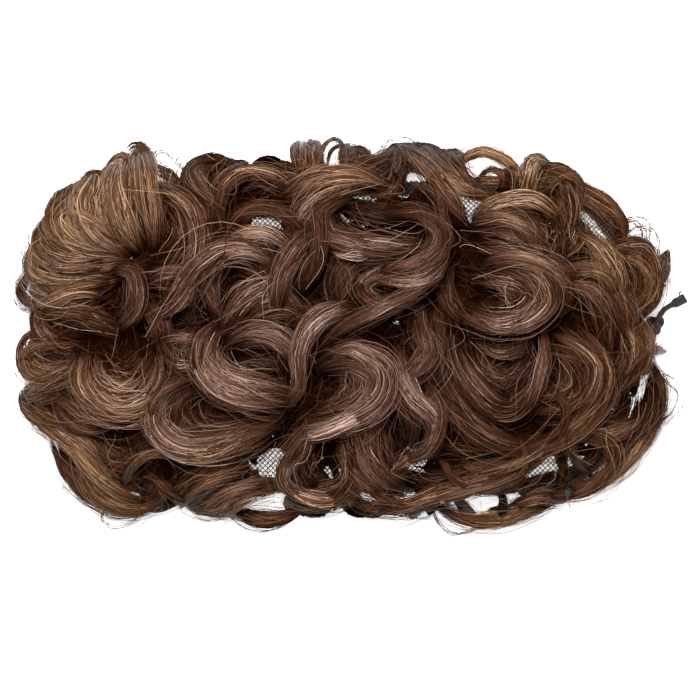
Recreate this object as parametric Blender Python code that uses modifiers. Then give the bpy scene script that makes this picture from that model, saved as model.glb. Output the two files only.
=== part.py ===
"""A top knot hairpiece: curled hair on a dished net, with a hem, two combs and an elastic drawstring.

It lies on its open side. X is its length, Y its depth, Z its height. Lengths are in metres.
"""

import math

import bmesh
import bpy
from mathutils import Vector

# The net and the hem round its rim
NET_LENGTH = 0.220
NET_DEPTH = 0.120
NET_HEIGHT = 0.026
NET_WALL = 0.0015
NET_SKIRT = 0.003
NET_CORNER = 0.036
HEM_WIDTH = 0.006
HEM_HEIGHT = 0.006

# The hair: how far it stands out past the net's ends, its long sides and its crown
END_OVERHANG = 0.015
SIDE_OVERHANG = 0.016
CROWN_OVERHANG = 0.034
HAIR_LENGTH = NET_LENGTH + 2 * END_OVERHANG
HAIR_DEPTH = NET_DEPTH + 2 * SIDE_OVERHANG
HAIR_HEIGHT = NET_HEIGHT + CROWN_OVERHANG

# The combs inside the two ends of the hem
COMB_LENGTH = 0.046
COMB_SPINE = 0.005
COMB_THICKNESS = 0.0022
COMB_LIFT = 0.002
TOOTH_COUNT = 12
TOOTH_LENGTH = 0.018
TOOTH_WIDTH = 0.0022
TOOTH_TIP = 0.0012

# The elastic drawstring, its knot and the cut end past it
CORD_DIAMETER = 0.0020
KNOT_DIAMETER = 0.0070
KNOT_LENGTH = 0.0056
DOOR_HEIGHT = 0.0095
DOOR_SIDE = 0.0035

# Clearance between neighbours, and between the hair and what it covers
GAP = 0.0003
SEAT_GAP = 0.0006

# The mound that the locks lie on: how square its plan is, and how full its side
PLAN_POWER = 3.0
SIDE_POWER = 2.3
LEVEL_LOW = 0.70
LEVEL_STEP = 0.10
LOCK_FLATNESS = 0.55
LOCK_END = 0.40
LOCK_DIVE = 0.007
SPAN_POINT_COUNT = 5

# The backing under the locks, as shares of the mound
BACKING_REACH = 0.90
BACKING_FULLNESS = 0.74

# The short curls that hang down to the table all round
FALL_COUNT = 42
FALL_WIDTH = 0.0135
FALL_TOP = 0.78
FALL_FOOT = 0.94
FALL_LIFT = 0.62
FALL_DROP = 0.85
FALL_LANDING = 0.65
FALL_SWEEP = 0.24
FALL_POINT_COUNT = 11

# How finely the fused hair is worked out
HAIR_VOXEL = 0.0017
SMOOTHING_COUNT = 2
TRIANGLE_COUNT = 8200

# Name, width in percent of half the length, level from 0 at the bottom to 3 on top, and the run of
# each lock: its points across and up, in percent of half the length and half the depth
LOCKS = [
    ("fan_right", 9, 2, [(-57, 43), (-58, 60), (-61, 80), (-63, 97)]),
    ("fan_middle", 9, 2, [(-61, 42), (-66, 58), (-69, 76), (-67, 93)]),
    ("fan_left", 11, 2, [(-64, 41), (-74, 52), (-79, 68), (-75, 84)]),
    ("fan_outer", 10, 1, [(-66, 40), (-80, 46), (-88, 58), (-83, 74)]),
    ("left_cheek_upper", 10, 2, [(-64, 37), (-80, 37), (-91, 46), (-90, 62)]),
    ("left_cheek_lower", 9, 2, [(-68, 29), (-84, 25), (-95, 34), (-94, 50)]),
    ("left_bulge", 7, 1, [(-72, 20), (-87, 17), (-97, 21), (-95, 34)]),
    ("hollow_hook", 6, 3, [(-70, 33), (-63, 30), (-62, 15), (-67, 3)]),
    ("hollow_ring", 7, 3, [(-61, 75), (-46, 66), (-42, 46), (-47, 24), (-55, 9)]),
    ("hollow_inner", 6, 1, [(-60, 35), (-51, 35), (-47, 46), (-53, 62)]),
    ("hollow_under", 7, 1, [(-62, 26), (-53, 28), (-46, 22), (-50, 10)]),
    ("hollow_strip", 3, 0, [(-60, 87), (-53, 82), (-49, 74), (-47, 66)]),
    ("dome_curl", 9, 2, [(-37, 44), (-42, 62), (-46, 79), (-40, 88), (-31, 84)]),
    ("arch_outer", 5, 2, [(-36, 47), (-38, 68), (-31, 81), (-21, 80), (-14, 71)]),
    ("arch_middle", 4, 2, [(-36, 47), (-32, 61), (-22, 66), (-13, 59), (-9, 46)]),
    ("arch_inner", 5, 2, [(-38, 43), (-29, 50), (-20, 50), (-13, 44)]),
    ("ring_outer", 8, 3, [(-53, 7), (-45, 28), (-36, 41), (-26, 40), (-20, 28)]),
    ("ring_inner", 6, 1, [(-29, 38), (-37, 31), (-38, 18), (-35, 6)]),
    ("ring_floor", 7, 2, [(-37, 0), (-30, 16), (-21, 25), (-11, 27)]),
    ("ring_core", 7, 0, [(-36, 24), (-30, 32), (-24, 26), (-27, 16)]),
    ("small_top_curl", 4, 0, [(-23, 79), (-18, 84), (-12, 81), (-10, 72)]),
    ("brow", 6, 3, [(-19, 69), (-8, 78), (4, 80), (15, 74)]),
    ("brow_return", 8, 2, [(8, 77), (-4, 71), (-12, 59), (-16, 45)]),
    ("brow_side", 6, 3, [(-21, 11), (-18, 30), (-13, 44), (-4, 53)]),
    ("eye_left", 5, 3, [(3, 70), (-6, 61), (-7, 48), (-8, 34), (-13, 20)]),
    ("eye_lid", 7, 3, [(-5, 60), (-3, 52), (6, 47), (16, 48), (27, 45)]),
    ("eye_right", 6, 3, [(12, 60), (22, 61), (29, 51), (27, 40), (18, 33), (8, 31)]),
    ("eye_under", 8, 2, [(-4, 42), (6, 40), (16, 41), (24, 38)]),
    ("eye_socket", 8, 0, [(-4, 66), (6, 60), (16, 58), (26, 56)]),
    ("nose_left", 8, 2, [(10, 42), (1, 35), (-2, 22), (3, 10)]),
    ("nose_swirl", 6, 2, [(22, 30), (12, 31), (6, 24), (11, 16), (20, 18)]),
    ("diagonal", 7, 3, [(31, 40), (25, 24), (12, 12), (0, 2), (-8, -10)]),
    ("diagonal_left", 6, 3, [(5, 14), (-7, 10), (-13, -6), (-13, -24), (-18, -36)]),
    ("crossing", 8, 1, [(-34, 6), (-26, 13), (-18, 11), (-12, 2)]),
    ("bridge_low", 8, 0, [(-14, 24), (-10, 12), (-5, 4), (6, 2)]),
    ("lower_arch", 6, 2, [(-36, -9), (-31, 0), (-22, 0), (-15, -8), (-14, -20)]),
    ("lower_band", 12, 3, [(-37, 6), (-41, -8), (-36, -21), (-26, -27), (-15, -30)]),
    ("lower_pupil", 8, 0, [(-33, -8), (-26, -12), (-20, -12), (-17, -20)]),
    ("great_ring", 8, 3, [(-42, -19), (-53, -27), (-56, -42), (-48, -54), (-34, -52), (-19, -42)]),
    ("great_ring_mid", 7, 2, [(-41, -25), (-49, -33), (-48, -45), (-39, -50), (-27, -45), (-16, -36)]),
    ("great_ring_inner", 6, 1, [(-40, -28), (-43, -38), (-36, -44), (-27, -41), (-17, -35)]),
    ("bowl", 11, 3, [(-77, -6), (-76, -22), (-67, -32), (-58, -26), (-54, -8)]),
    ("bowl_inner", 8, 1, [(-73, -8), (-70, -17), (-64, -19), (-59, -12), (-58, 2)]),
    ("bowl_rim", 5, 2, [(-55, -10), (-54, 2), (-57, 12), (-62, 18)]),
    ("left_loop", 8, 2, [(-89, 4), (-96, -5), (-95, -17), (-86, -18), (-77, -8)]),
    ("left_loop_inner", 7, 1, [(-91, -3), (-86, -6), (-81, -6), (-76, -4)]),
    ("left_feather", 7, 2, [(-77, -9), (-82, -17), (-90, -24), (-98, -29)]),
    ("left_cross", 8, 1, [(-94, 14), (-86, 14), (-76, 8), (-66, 0)]),
    ("left_curl", 6, 2, [(-87, 18), (-93, 11), (-91, 1), (-84, -3)]),
    ("side_bars", 8, 1, [(-56, 0), (-51, -3), (-46, -4), (-41, -2)]),
    ("side_hook", 5, 2, [(-55, 6), (-53, -8), (-47, -15), (-40, -18)]),
    ("side_fill", 8, 0, [(-56, 18), (-50, 14), (-44, 12), (-38, 14)]),
    ("corner_sweep", 8, 2, [(-97, -32), (-90, -44), (-79, -55), (-70, -70), (-59, -80)]),
    ("corner_outer", 7, 1, [(-89, -50), (-84, -67), (-77, -79), (-68, -86), (-57, -83)]),
    ("corner_gold", 6, 2, [(-80, -46), (-79, -64), (-74, -79), (-64, -86), (-54, -82)]),
    ("corner_grey", 5, 2, [(-89, -28), (-82, -35), (-73, -40), (-63, -38)]),
    ("corner_dark", 8, 1, [(-74, -40), (-75, -51), (-69, -62), (-60, -68)]),
    ("corner_left", 6, 1, [(-96, -24), (-93, -36), (-84, -44), (-76, -44)]),
    ("corner_fill", 9, 0, [(-66, -44), (-62, -54), (-58, -66), (-56, -76)]),
    ("corner_wisp", 3, 3, [(-68, -76), (-63, -63), (-55, -57), (-46, -60)]),
    ("hem_wave_upper", 9, 2, [(-52, -82), (-44, -72), (-33, -66), (-20, -64)]),
    ("hem_wave_lower", 8, 2, [(-48, -83), (-38, -82), (-30, -76), (-19, -73)]),
    ("hem_scoop", 5, 1, [(-35, -86), (-26, -91), (-17, -89), (-11, -83)]),
    ("hem_dark", 8, 0, [(-46, -60), (-38, -60), (-30, -58), (-22, -54)]),
    ("jug_left", 6, 3, [(-7, -38), (-14, -55), (-18, -70), (-11, -80), (0, -78)]),
    ("jug_right", 7, 2, [(-1, -50), (2, -62), (0, -74), (-8, -81), (-17, -79)]),
    ("jug_fill", 8, 1, [(-8, -48), (-11, -57), (-10, -66), (-4, -72)]),
    ("disc_outer", 9, 3, [(-9, -15), (2, -9), (11, -16), (10, -30), (0, -41), (-15, -45)]),
    ("disc_inner", 9, 2, [(-5, -18), (3, -17), (5, -27), (0, -35), (-9, -38)]),
    ("trunk_left", 8, 2, [(4, -38), (5, -52), (9, -66), (16, -75)]),
    ("trunk_middle", 8, 2, [(11, -38), (11, -52), (12, -62), (20, -70)]),
    ("trunk_foot", 6, 2, [(-1, -50), (3, -63), (9, -74), (19, -80)]),
    ("cascade", 7, 3, [(16, -4), (17, -15), (20, -29), (27, -42), (25, -60)]),
    ("cascade_left", 5, 2, [(14, -18), (17, -30), (21, -43), (20, -56)]),
    ("throat", 6, 3, [(23, 17), (23, 3), (25, -8), (19, -19), (12, -27)]),
    ("throat_right", 6, 2, [(29, 16), (28, 0), (28, -14), (24, -28)]),
    ("foot_gold", 7, 3, [(6, -88), (18, -85), (30, -77), (44, -71), (56, -62), (66, -49)]),
    ("foot_left", 7, 1, [(2, -80), (10, -84), (20, -84), (30, -82)]),
    ("foot_lower", 5, 2, [(27, -81), (36, -86), (46, -87), (56, -83), (66, -82)]),
    ("foot_dark", 7, 1, [(20, -66), (30, -71), (42, -66), (52, -58)]),
    ("foot_hook", 4, 1, [(44, -72), (47, -80), (46, -87), (38, -91)]),
    ("foot_fill", 8, 0, [(24, -56), (32, -54), (42, -56), (52, -60)]),
    ("deep_bowl", 10, 2, [(32, 6), (33, -14), (41, -31), (50, -35), (57, -20), (62, -2)]),
    ("deep_bowl_outer", 8, 2, [(31, -12), (35, -34), (44, -49), (54, -55), (64, -50)]),
    ("deep_bowl_fill", 9, 1, [(38, 2), (40, -12), (47, -20), (54, -12), (56, 2)]),
    ("dish", 8, 3, [(33, 14), (42, 5), (54, 6), (61, 18), (56, 31), (42, 37)]),
    ("dish_inner", 8, 2, [(37, 30), (48, 28), (55, 20), (49, 12), (38, 14)]),
    ("dish_top", 7, 2, [(40, 43), (51, 40), (61, 33), (66, 20), (63, 8)]),
    ("dish_side", 6, 1, [(33, 36), (31, 26), (33, 14), (39, 6)]),
    ("knot_arch", 6, 3, [(38, 56), (46, 65), (57, 67), (66, 57)]),
    ("knot_wave", 9, 2, [(38, 53), (47, 56), (56, 48), (64, 37)]),
    ("knot_low", 8, 1, [(38, 48), (46, 48), (54, 42), (62, 34)]),
    ("knot_drop", 5, 1, [(65, 62), (66, 53), (65, 43), (64, 35)]),
    ("peak_left", 7, 3, [(15, 96), (22, 86), (29, 70), (37, 56)]),
    ("peak_right", 6, 2, [(24, 96), (28, 84), (36, 73), (47, 67)]),
    ("peak_back", 6, 1, [(16, 95), (11, 88), (4, 83), (-3, 80)]),
    ("peak_inner", 6, 1, [(19, 92), (17, 82), (14, 72), (8, 68)]),
    ("peak_low", 6, 1, [(22, 78), (27, 68), (32, 60), (36, 52)]),
    ("blunt_left", 6, 1, [(-7, 78), (-11, 86), (-12, 96), (-7, 94)]),
    ("blunt_middle", 6, 1, [(-1, 80), (1, 92), (6, 94), (10, 86)]),
    ("blunt_right", 7, 1, [(42, 70), (35, 79), (32, 90), (37, 93)]),
    ("gold_arch", 4, 1, [(37, 90), (43, 93), (50, 87), (54, 79)]),
    ("gold_arch_inner", 5, 1, [(40, 81), (45, 83), (50, 78), (49, 70)]),
    ("top_post", 5, 2, [(56, 65), (56, 77), (58, 87), (64, 86)]),
    ("top_roll", 6, 1, [(58, 84), (65, 84), (71, 77), (72, 65)]),
    ("top_fall", 6, 2, [(66, 82), (67, 72), (68, 60), (66, 48)]),
    ("top_fill", 7, 0, [(50, 72), (56, 74), (62, 72), (68, 68)]),
    ("bridge", 6, 1, [(66, 78), (74, 70), (81, 60), (86, 50)]),
    ("fan_gold", 6, 3, [(71, 56), (79, 46), (83, 30), (83, 12)]),
    ("fan_high", 8, 2, [(64, 35), (74, 35), (81, 22), (86, 6), (84, -10)]),
    ("fan_low", 7, 2, [(64, 28), (72, 26), (78, 14), (80, -2), (79, -18)]),
    ("fan_up", 6, 1, [(65, 38), (71, 46), (73, 54), (70, 62)]),
    ("ear_ring", 8, 2, [(79, 48), (90, 47), (95, 34), (94, 18), (87, 9)]),
    ("ear_inner", 6, 1, [(84, 42), (90, 36), (90, 24), (85, 16)]),
    ("ear_tip", 3, 1, [(94, 28), (97, 36), (99, 43)]),
    ("cheek_right", 6, 2, [(89, 12), (94, 1), (92, -14), (85, -25)]),
    ("cheek_right_in", 7, 1, [(80, 8), (85, -6), (83, -20), (76, -32)]),
    ("long_s", 8, 3, [(65, 5), (75, -9), (79, -26), (72, -42), (60, -56), (45, -68)]),
    ("whorl", 7, 2, [(59, -6), (69, -10), (73, -22), (66, -34), (54, -38)]),
    ("whorl_inner", 7, 0, [(58, -18), (65, -20), (66, -28), (58, -32)]),
    ("outer_right", 5, 2, [(92, -9), (97, -23), (96, -40), (89, -57), (79, -70), (64, -79)]),
    ("under_right", 7, 1, [(90, -28), (87, -42), (79, -47), (69, -45), (62, -52)]),
    ("right_mass", 9, 0, [(94, -18), (93, -34), (88, -48), (80, -58)]),
    ("handle", 4, 3, [(67, -50), (78, -51), (81, -62), (76, -75), (62, -80)]),
    ("handle_inner", 5, 1, [(70, -54), (75, -61), (74, -71), (67, -77)]),
    ("handle_fill", 6, 0, [(84, -52), (86, -60), (82, -68), (74, -74)]),
]

# Places where the hair is thin and the net shows: across, up and radius, in the same shares
THIN_PLACES = [
    ("left_arch", -24, 58, 11),
    ("top_edge", -3, 92, 8),
    ("top_right_edge", 44, 88, 8),
    ("eye", 6, 60, 9),
    ("right_shoulder", 77, 57, 9),
    ("low_right", 64, -71, 12),
    ("low_left", -24, -84, 8),
    ("right_rim", 95, -32, 7),
]

# The drawstring's route in cord diameters: out from the hem's end, up across the depth, and the
# height of its centre
CORD_ROUTE = [
    (0.0, -4.4, 1.5),
    (1.6, -4.4, 1.3),
    (3.1, -3.6, 1.0),
    (4.0, -2.1, 1.0),
    (4.3, -0.8, 1.4),
    (4.4, 1.7, 1.75),
    (5.0, 3.2, 1.75),
    (6.4, 5.2, 1.4),
    (7.4, 5.9, 0.9),
    (8.4, 6.5, 0.6),
    (9.4, 7.0, 0.5),
    (10.5, 7.6, 0.5),
]
KNOT_START = 5
KNOT_END = 6


def clear_scene():
    for thing in list(bpy.data.objects):
        bpy.data.objects.remove(thing, do_unlink=True)


def collection(name):
    group = bpy.data.collections.new(name)
    bpy.context.scene.collection.children.link(group)
    return group


def material(name, colour, roughness, metallic=0.0):
    made = bpy.data.materials.new(name)
    made.use_nodes = True
    shader = made.node_tree.nodes["Principled BSDF"]
    shader.inputs["Base Color"].default_value = (*colour, 1.0)
    shader.inputs["Roughness"].default_value = roughness
    shader.inputs["Metallic"].default_value = metallic
    return made


def add_object(name, data, group, finish=None):
    thing = bpy.data.objects.new(name, data)
    group.objects.link(thing)
    if finish:
        data.materials.clear()
        data.materials.append(finish)
    return thing


def as_cutter(thing):
    thing.hide_render = True
    thing.display_type = "WIRE"
    return thing


def evaluated_mesh(thing):
    graph = bpy.context.evaluated_depsgraph_get()
    return bpy.data.meshes.new_from_object(thing.evaluated_get(graph))


def mesh_from(bm, name):
    bmesh.ops.recalc_face_normals(bm, faces=bm.faces)
    mesh = bpy.data.meshes.new(name)
    bm.to_mesh(mesh)
    bm.free()
    return mesh


def spread(u, v):
    """A place given in percent of half the hair's length and half its depth."""
    return u / 100 * HAIR_LENGTH / 2, v / 100 * HAIR_DEPTH / 2


def smooth_run(points, spans):
    """Points along a smooth curve through the given ones (Catmull-Rom)."""
    points = [Vector(p) for p in points]
    chain = [2 * points[0] - points[1], *points, 2 * points[-1] - points[-2]]
    run = []
    for a, b, c, d in zip(chain, chain[1:], chain[2:], chain[3:]):
        for step in range(spans):
            t = step / spans
            run.append(
                0.5
                * (
                    2 * b
                    + (c - a) * t
                    + (2 * a - 5 * b + 4 * c - d) * t**2
                    + (3 * b - a - 3 * c + d) * t**3
                )
            )
    run.append(points[-1])
    return run


def rounded_outline(half_x, half_y, corner, steps=6):
    """A rounded rectangle, counter-clockwise from the middle of its right end."""
    places = []
    for turn, (sx, sy) in enumerate(((1, 1), (-1, 1), (-1, -1), (1, -1))):
        for step in range(steps + 1):
            angle = math.pi / 2 * (turn + step / steps)
            x = sx * (half_x - corner) + corner * math.cos(angle)
            y = sy * (half_y - corner) + corner * math.sin(angle)
            places.append((x, y))
    return places


def dome(name, grow, floor, closed):
    """The net's outer form, grown all round; its skirt comes down to the floor height given."""
    outline = rounded_outline(NET_LENGTH / 2 + grow, NET_DEPTH / 2 + grow, NET_CORNER + grow)
    shoulder = HEM_HEIGHT + GAP + NET_SKIRT
    crown = NET_HEIGHT + grow - shoulder
    bm = bmesh.new()
    ring = [bm.verts.new((x, y, floor)) for x, y in outline]
    for a, b in zip(ring, ring[1:] + ring[:1]):
        bm.edges.new((a, b))
    if closed:
        bm.faces.new(ring)
    edges = [e for e in bm.edges]
    for share in (1.0, 0.95, 0.84, 0.66, 0.42):
        made = bmesh.ops.extrude_edge_only(bm, edges=edges)["geom"]
        corners = [g for g in made if isinstance(g, bmesh.types.BMVert)]
        edges = [g for g in made if isinstance(g, bmesh.types.BMEdge)]
        height = shoulder + crown * (1 - share**2.4) ** (1 / 2.4)
        for corner, (x, y) in zip(corners, outline):
            corner.co = (x * share, y * share, height)
    bmesh.ops.contextual_create(bm, geom=edges)
    top = max(bm.faces, key=lambda face: face.calc_center_median().z)
    bmesh.ops.poke(bm, faces=[top])
    peak = max(bm.verts, key=lambda corner: len(corner.link_edges))
    peak.co.z = shoulder + crown
    return mesh_from(bm, name)


def build_net(group):
    mesh = dome("net_base", 0.0, HEM_HEIGHT + GAP, closed=False)
    net = add_object("net_base", mesh, group, material("net", (0.030, 0.018, 0.012), 0.8))
    wall = net.modifiers.new("wall", "SOLIDIFY")
    wall.thickness = NET_WALL
    wall.offset = -1
    wall.use_even_offset = True
    mesh.shade_smooth()
    return net


def build_hem(group):
    """A flat-bottomed tube of cloth, so its section is a low arch."""
    section = bpy.data.curves.new("hem_section", "CURVE")
    section.dimensions = "2D"
    half = HEM_WIDTH / 2
    shape = [(half, 0), (-half, 0), (-half, 0.7), (-0.6 * half, 1), (0.6 * half, 1), (half, 0.7)]
    places = [(x, y if y == 0 else y * HEM_HEIGHT) for x, y in shape]
    line = section.splines.new("POLY")
    line.points.add(len(places) - 1)
    for point, (x, y) in zip(line.points, places):
        point.co = (x, y, 0, 1)
    line.use_cyclic_u = True
    bevel = as_cutter(add_object("hem_section", section, bpy.data.collections["cutters"]))
    route = bpy.data.curves.new("hem_band", "CURVE")
    route.dimensions = "3D"
    route.twist_mode = "Z_UP"
    route.bevel_mode = "OBJECT"
    route.bevel_object = bevel
    inset = HEM_WIDTH / 2
    outline = rounded_outline(NET_LENGTH / 2 - inset, NET_DEPTH / 2 - inset, NET_CORNER - inset)
    loop = route.splines.new("POLY")
    loop.points.add(len(outline) - 1)
    for point, (x, y) in zip(loop.points, outline):
        point.co = (x, y, 0, 1)
    loop.use_cyclic_u = True
    return add_object("hem_band", route, group, material("elastic_hem", (0.012, 0.011, 0.011), 0.85))


def comb_outline():
    """The spine's straight back, then along the teeth. The back lies on the X axis."""
    pitch = (COMB_LENGTH - TOOTH_WIDTH) / (TOOTH_COUNT - 1)
    places = [(COMB_LENGTH / 2, 0), (-COMB_LENGTH / 2, 0)]
    for tooth in range(TOOTH_COUNT):
        middle = -COMB_LENGTH / 2 + TOOTH_WIDTH / 2 + tooth * pitch
        root, tip = TOOTH_WIDTH / 2, TOOTH_TIP / 2
        places.append((middle - root, -COMB_SPINE))
        places.append((middle - tip, -COMB_SPINE - TOOTH_LENGTH))
        places.append((middle + tip, -COMB_SPINE - TOOTH_LENGTH))
        places.append((middle + root, -COMB_SPINE))
    return places


def build_comb(name, side, group, finish):
    flat = bpy.data.curves.new(name, "CURVE")
    flat.dimensions = "2D"
    flat.fill_mode = "BOTH"
    flat.extrude = COMB_THICKNESS / 2
    line = flat.splines.new("POLY")
    places = comb_outline()
    line.points.add(len(places) - 1)
    for point, (x, y) in zip(line.points, places):
        point.co = (x, y, 0, 1)
    line.use_cyclic_u = True
    comb = add_object(name, flat, group, finish)
    back = NET_LENGTH / 2 - HEM_WIDTH - GAP
    comb.location = (side * back, 0, COMB_LIFT + COMB_THICKNESS / 2)
    comb.rotation_euler.z = -side * math.pi / 2
    return comb


def cord_centres():
    end = Vector((NET_LENGTH / 2 + GAP, 0, 0))
    return [end + Vector(place) * CORD_DIAMETER for place in CORD_ROUTE]


def tube(name, run, diameter, group, finish):
    cord = bpy.data.curves.new(name, "CURVE")
    cord.dimensions = "3D"
    cord.bevel_depth = diameter / 2
    cord.bevel_resolution = 2
    cord.use_fill_caps = True
    line = cord.splines.new("POLY")
    line.points.add(len(run) - 1)
    for point, place in zip(line.points, run):
        point.co = (*place, 1)
    return add_object(name, cord, group, finish)


def build_drawstring(group):
    finish = material("elastic_cord", (0.015, 0.015, 0.017), 0.7)
    centres = cord_centres()
    middle = (centres[KNOT_START] + centres[KNOT_END]) / 2
    along = (centres[KNOT_END] - centres[KNOT_START]).normalized()
    reach = along * (KNOT_LENGTH / 2 + GAP)
    straight = along * CORD_DIAMETER / 2
    before = [*centres[:KNOT_START], middle - reach - straight, middle - reach]
    after = [middle + reach, middle + reach + straight, *centres[KNOT_END + 1 :]]
    tube("drawstring", smooth_run(before, 2), CORD_DIAMETER, group, finish)
    tube("drawstring_tail", smooth_run(after, 2), CORD_DIAMETER, group, finish)
    bm = bmesh.new()
    bmesh.ops.create_uvsphere(bm, u_segments=12, v_segments=8, radius=KNOT_DIAMETER / 2)
    for corner in bm.verts:
        corner.co.z *= KNOT_LENGTH / KNOT_DIAMETER
    bmesh.ops.transform(bm, verts=bm.verts, matrix=along.to_track_quat("Z", "Y").to_matrix().to_4x4())
    low = min(corner.co.z for corner in bm.verts)
    knot = add_object("drawstring_knot", mesh_from(bm, "drawstring_knot"), group, finish)
    knot.data.shade_smooth()
    knot.location = (middle.x, middle.y, -low)
    return knot


def mound_height(across, up):
    """The height of the hair's mound, where across and up are shares of its half sizes."""
    rim = (abs(across) ** PLAN_POWER + abs(up) ** PLAN_POWER) ** (1 / PLAN_POWER)
    return HAIR_HEIGHT * max(0.0, 1 - min(rim, 1.0) ** SIDE_POWER) ** (1 / SIDE_POWER)


def build_backing(group):
    """A mound under the locks, thin where the net shows. The net is cut out of it afterwards."""
    bm = bmesh.new()
    bmesh.ops.create_uvsphere(bm, u_segments=72, v_segments=40, radius=1.0)
    for corner in bm.verts:
        angle = math.atan2(corner.co.y, corner.co.x)
        rim = min(1.0, math.hypot(corner.co.x, corner.co.y))
        square = (abs(math.cos(angle)) ** PLAN_POWER + abs(math.sin(angle)) ** PLAN_POWER) ** (1 / PLAN_POWER)
        across = rim * math.cos(angle) / square * BACKING_REACH
        up = rim * math.sin(angle) / square * BACKING_REACH
        low = corner.co.z < 0
        height = mound_height(across / BACKING_REACH, up / BACKING_REACH) * BACKING_FULLNESS
        for _, u, v, radius in THIN_PLACES:
            x, y = spread(u - across * 100, v - up * 100)
            reach = radius / 100 * HAIR_LENGTH / 2
            height -= HAIR_HEIGHT * 0.6 * math.exp(-(x * x + y * y) / reach**2)
        x, y = spread(across * 100, up * 100)
        corner.co = (x, y, -2 * HAIR_VOXEL if low else max(height, -HAIR_VOXEL))
    return add_object("backing", mesh_from(bm, "backing"), group)


def lock_run(points, width, level):
    """A lock's centreline: it rises over the mound, and both its ends dive into the hair."""
    flat = smooth_run([(*spread(u, v), 0) for u, v in points], SPAN_POINT_COUNT)
    thickness = width * LOCK_FLATNESS
    run = []
    for step, place in enumerate(flat):
        share = step / (len(flat) - 1)
        crest = math.sin(math.pi * share) ** 0.7
        height = mound_height(place.x / (HAIR_LENGTH / 2), place.y / (HAIR_DEPTH / 2))
        height = height * (LEVEL_LOW + LEVEL_STEP * level) - thickness / 2 - LOCK_DIVE * (1 - crest)
        run.append(((place.x, place.y, max(height, thickness / 2)), LOCK_END + (1 - LOCK_END) * crest))
    return run


def fall_run(number):
    """A short curl that drops from the mound's side and then sweeps along the table."""
    angle = math.tau * (number + 0.5) / FALL_COUNT
    sweep = FALL_SWEEP * (1 + 0.4 * math.sin(2.4 * number))
    top = FALL_LIFT * HAIR_HEIGHT
    foot = FALL_WIDTH * LOCK_FLATNESS / 2
    run = []
    for step in range(FALL_POINT_COUNT):
        share = step / (FALL_POINT_COUNT - 1)
        drop = min(1.0, share / FALL_LANDING)
        turn = angle + sweep * share * share
        square = (abs(math.cos(turn)) ** PLAN_POWER + abs(math.sin(turn)) ** PLAN_POWER) ** (1 / PLAN_POWER)
        reach = FALL_TOP + (FALL_FOOT - FALL_TOP) * math.sin(math.pi / 2 * drop)
        x = reach * math.cos(turn) / square * HAIR_LENGTH / 2
        y = reach * math.sin(turn) / square * HAIR_DEPTH / 2
        height = top + (foot - top) * drop**FALL_DROP
        run.append(((x, y, height), LOCK_END + (1 - LOCK_END) * math.sin(math.pi * share) ** 0.4))
    return run


def build_locks(group):
    """Every lock as one spline with a flat oval section, whose width swells towards its middle."""
    oval = bpy.data.curves.new("lock_section", "CURVE")
    oval.dimensions = "2D"
    ring = oval.splines.new("POLY")
    ring.points.add(9)
    for number, point in enumerate(ring.points):
        angle = math.tau * number / len(ring.points)
        point.co = (0.5 * math.cos(angle), 0.5 * LOCK_FLATNESS * math.sin(angle), 0, 1)
    ring.use_cyclic_u = True
    bevel = as_cutter(add_object("lock_section", oval, bpy.data.collections["cutters"]))
    locks = bpy.data.curves.new("locks", "CURVE")
    locks.dimensions = "3D"
    locks.twist_mode = "Z_UP"
    locks.bevel_mode = "OBJECT"
    locks.bevel_object = bevel
    locks.use_fill_caps = True
    runs = []
    for _, percent, level, points in LOCKS:
        width = percent / 100 * HAIR_LENGTH / 2
        runs.append((width, lock_run(points, width, level)))
    runs += [(FALL_WIDTH, fall_run(number)) for number in range(FALL_COUNT)]
    for width, run in runs:
        line = locks.splines.new("POLY")
        line.points.add(len(run) - 1)
        for point, (place, swell) in zip(line.points, run):
            point.co = (*place, 1)
            point.radius = width * swell
    return add_object("locks", locks, group)


def largest_body(mesh):
    """Keeps the outer skin of the fused hair, without the sealed hollows and crumbs."""
    bm = bmesh.new()
    bm.from_mesh(mesh)
    left = set(bm.faces)
    bodies = []
    while left:
        front = [left.pop()]
        body = set(front)
        while front:
            for edge in front.pop().edges:
                if len(edge.link_faces) > 2:
                    continue
                for face in edge.link_faces:
                    if face in left:
                        left.discard(face)
                        body.add(face)
                        front.append(face)
        bodies.append(body)
    keep = max(bodies, key=len)
    bmesh.ops.delete(bm, geom=[face for face in bm.faces if face not in keep], context="FACES")
    bm.to_mesh(mesh)
    bm.free()


def fit_to_sizes(mesh):
    """Brings the fused hair to its named length, depth and height, standing on the table."""
    corners = [corner.co for corner in mesh.vertices]
    for axis, size in enumerate((HAIR_LENGTH, HAIR_DEPTH)):
        low = min(co[axis] for co in corners)
        high = max(co[axis] for co in corners)
        for co in corners:
            co[axis] = (co[axis] - (low + high) / 2) * size / (high - low)
    high = max(co.z for co in corners)
    for co in corners:
        co.z = co.z * HAIR_HEIGHT / high


def cut(thing, name, cutter):
    step = thing.modifiers.new(name, "BOOLEAN")
    step.operation = "DIFFERENCE"
    step.object = cutter
    step.solver = "EXACT"
    step.use_self = True


def box_cutter(name, low, high, group):
    bm = bmesh.new()
    bmesh.ops.create_cube(bm, size=1.0)
    for corner in bm.verts:
        corner.co = [a + (b - a) * (c + 0.5) for a, b, c in zip(low, high, corner.co)]
    return as_cutter(add_object(name, mesh_from(bm, name), group))


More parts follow.
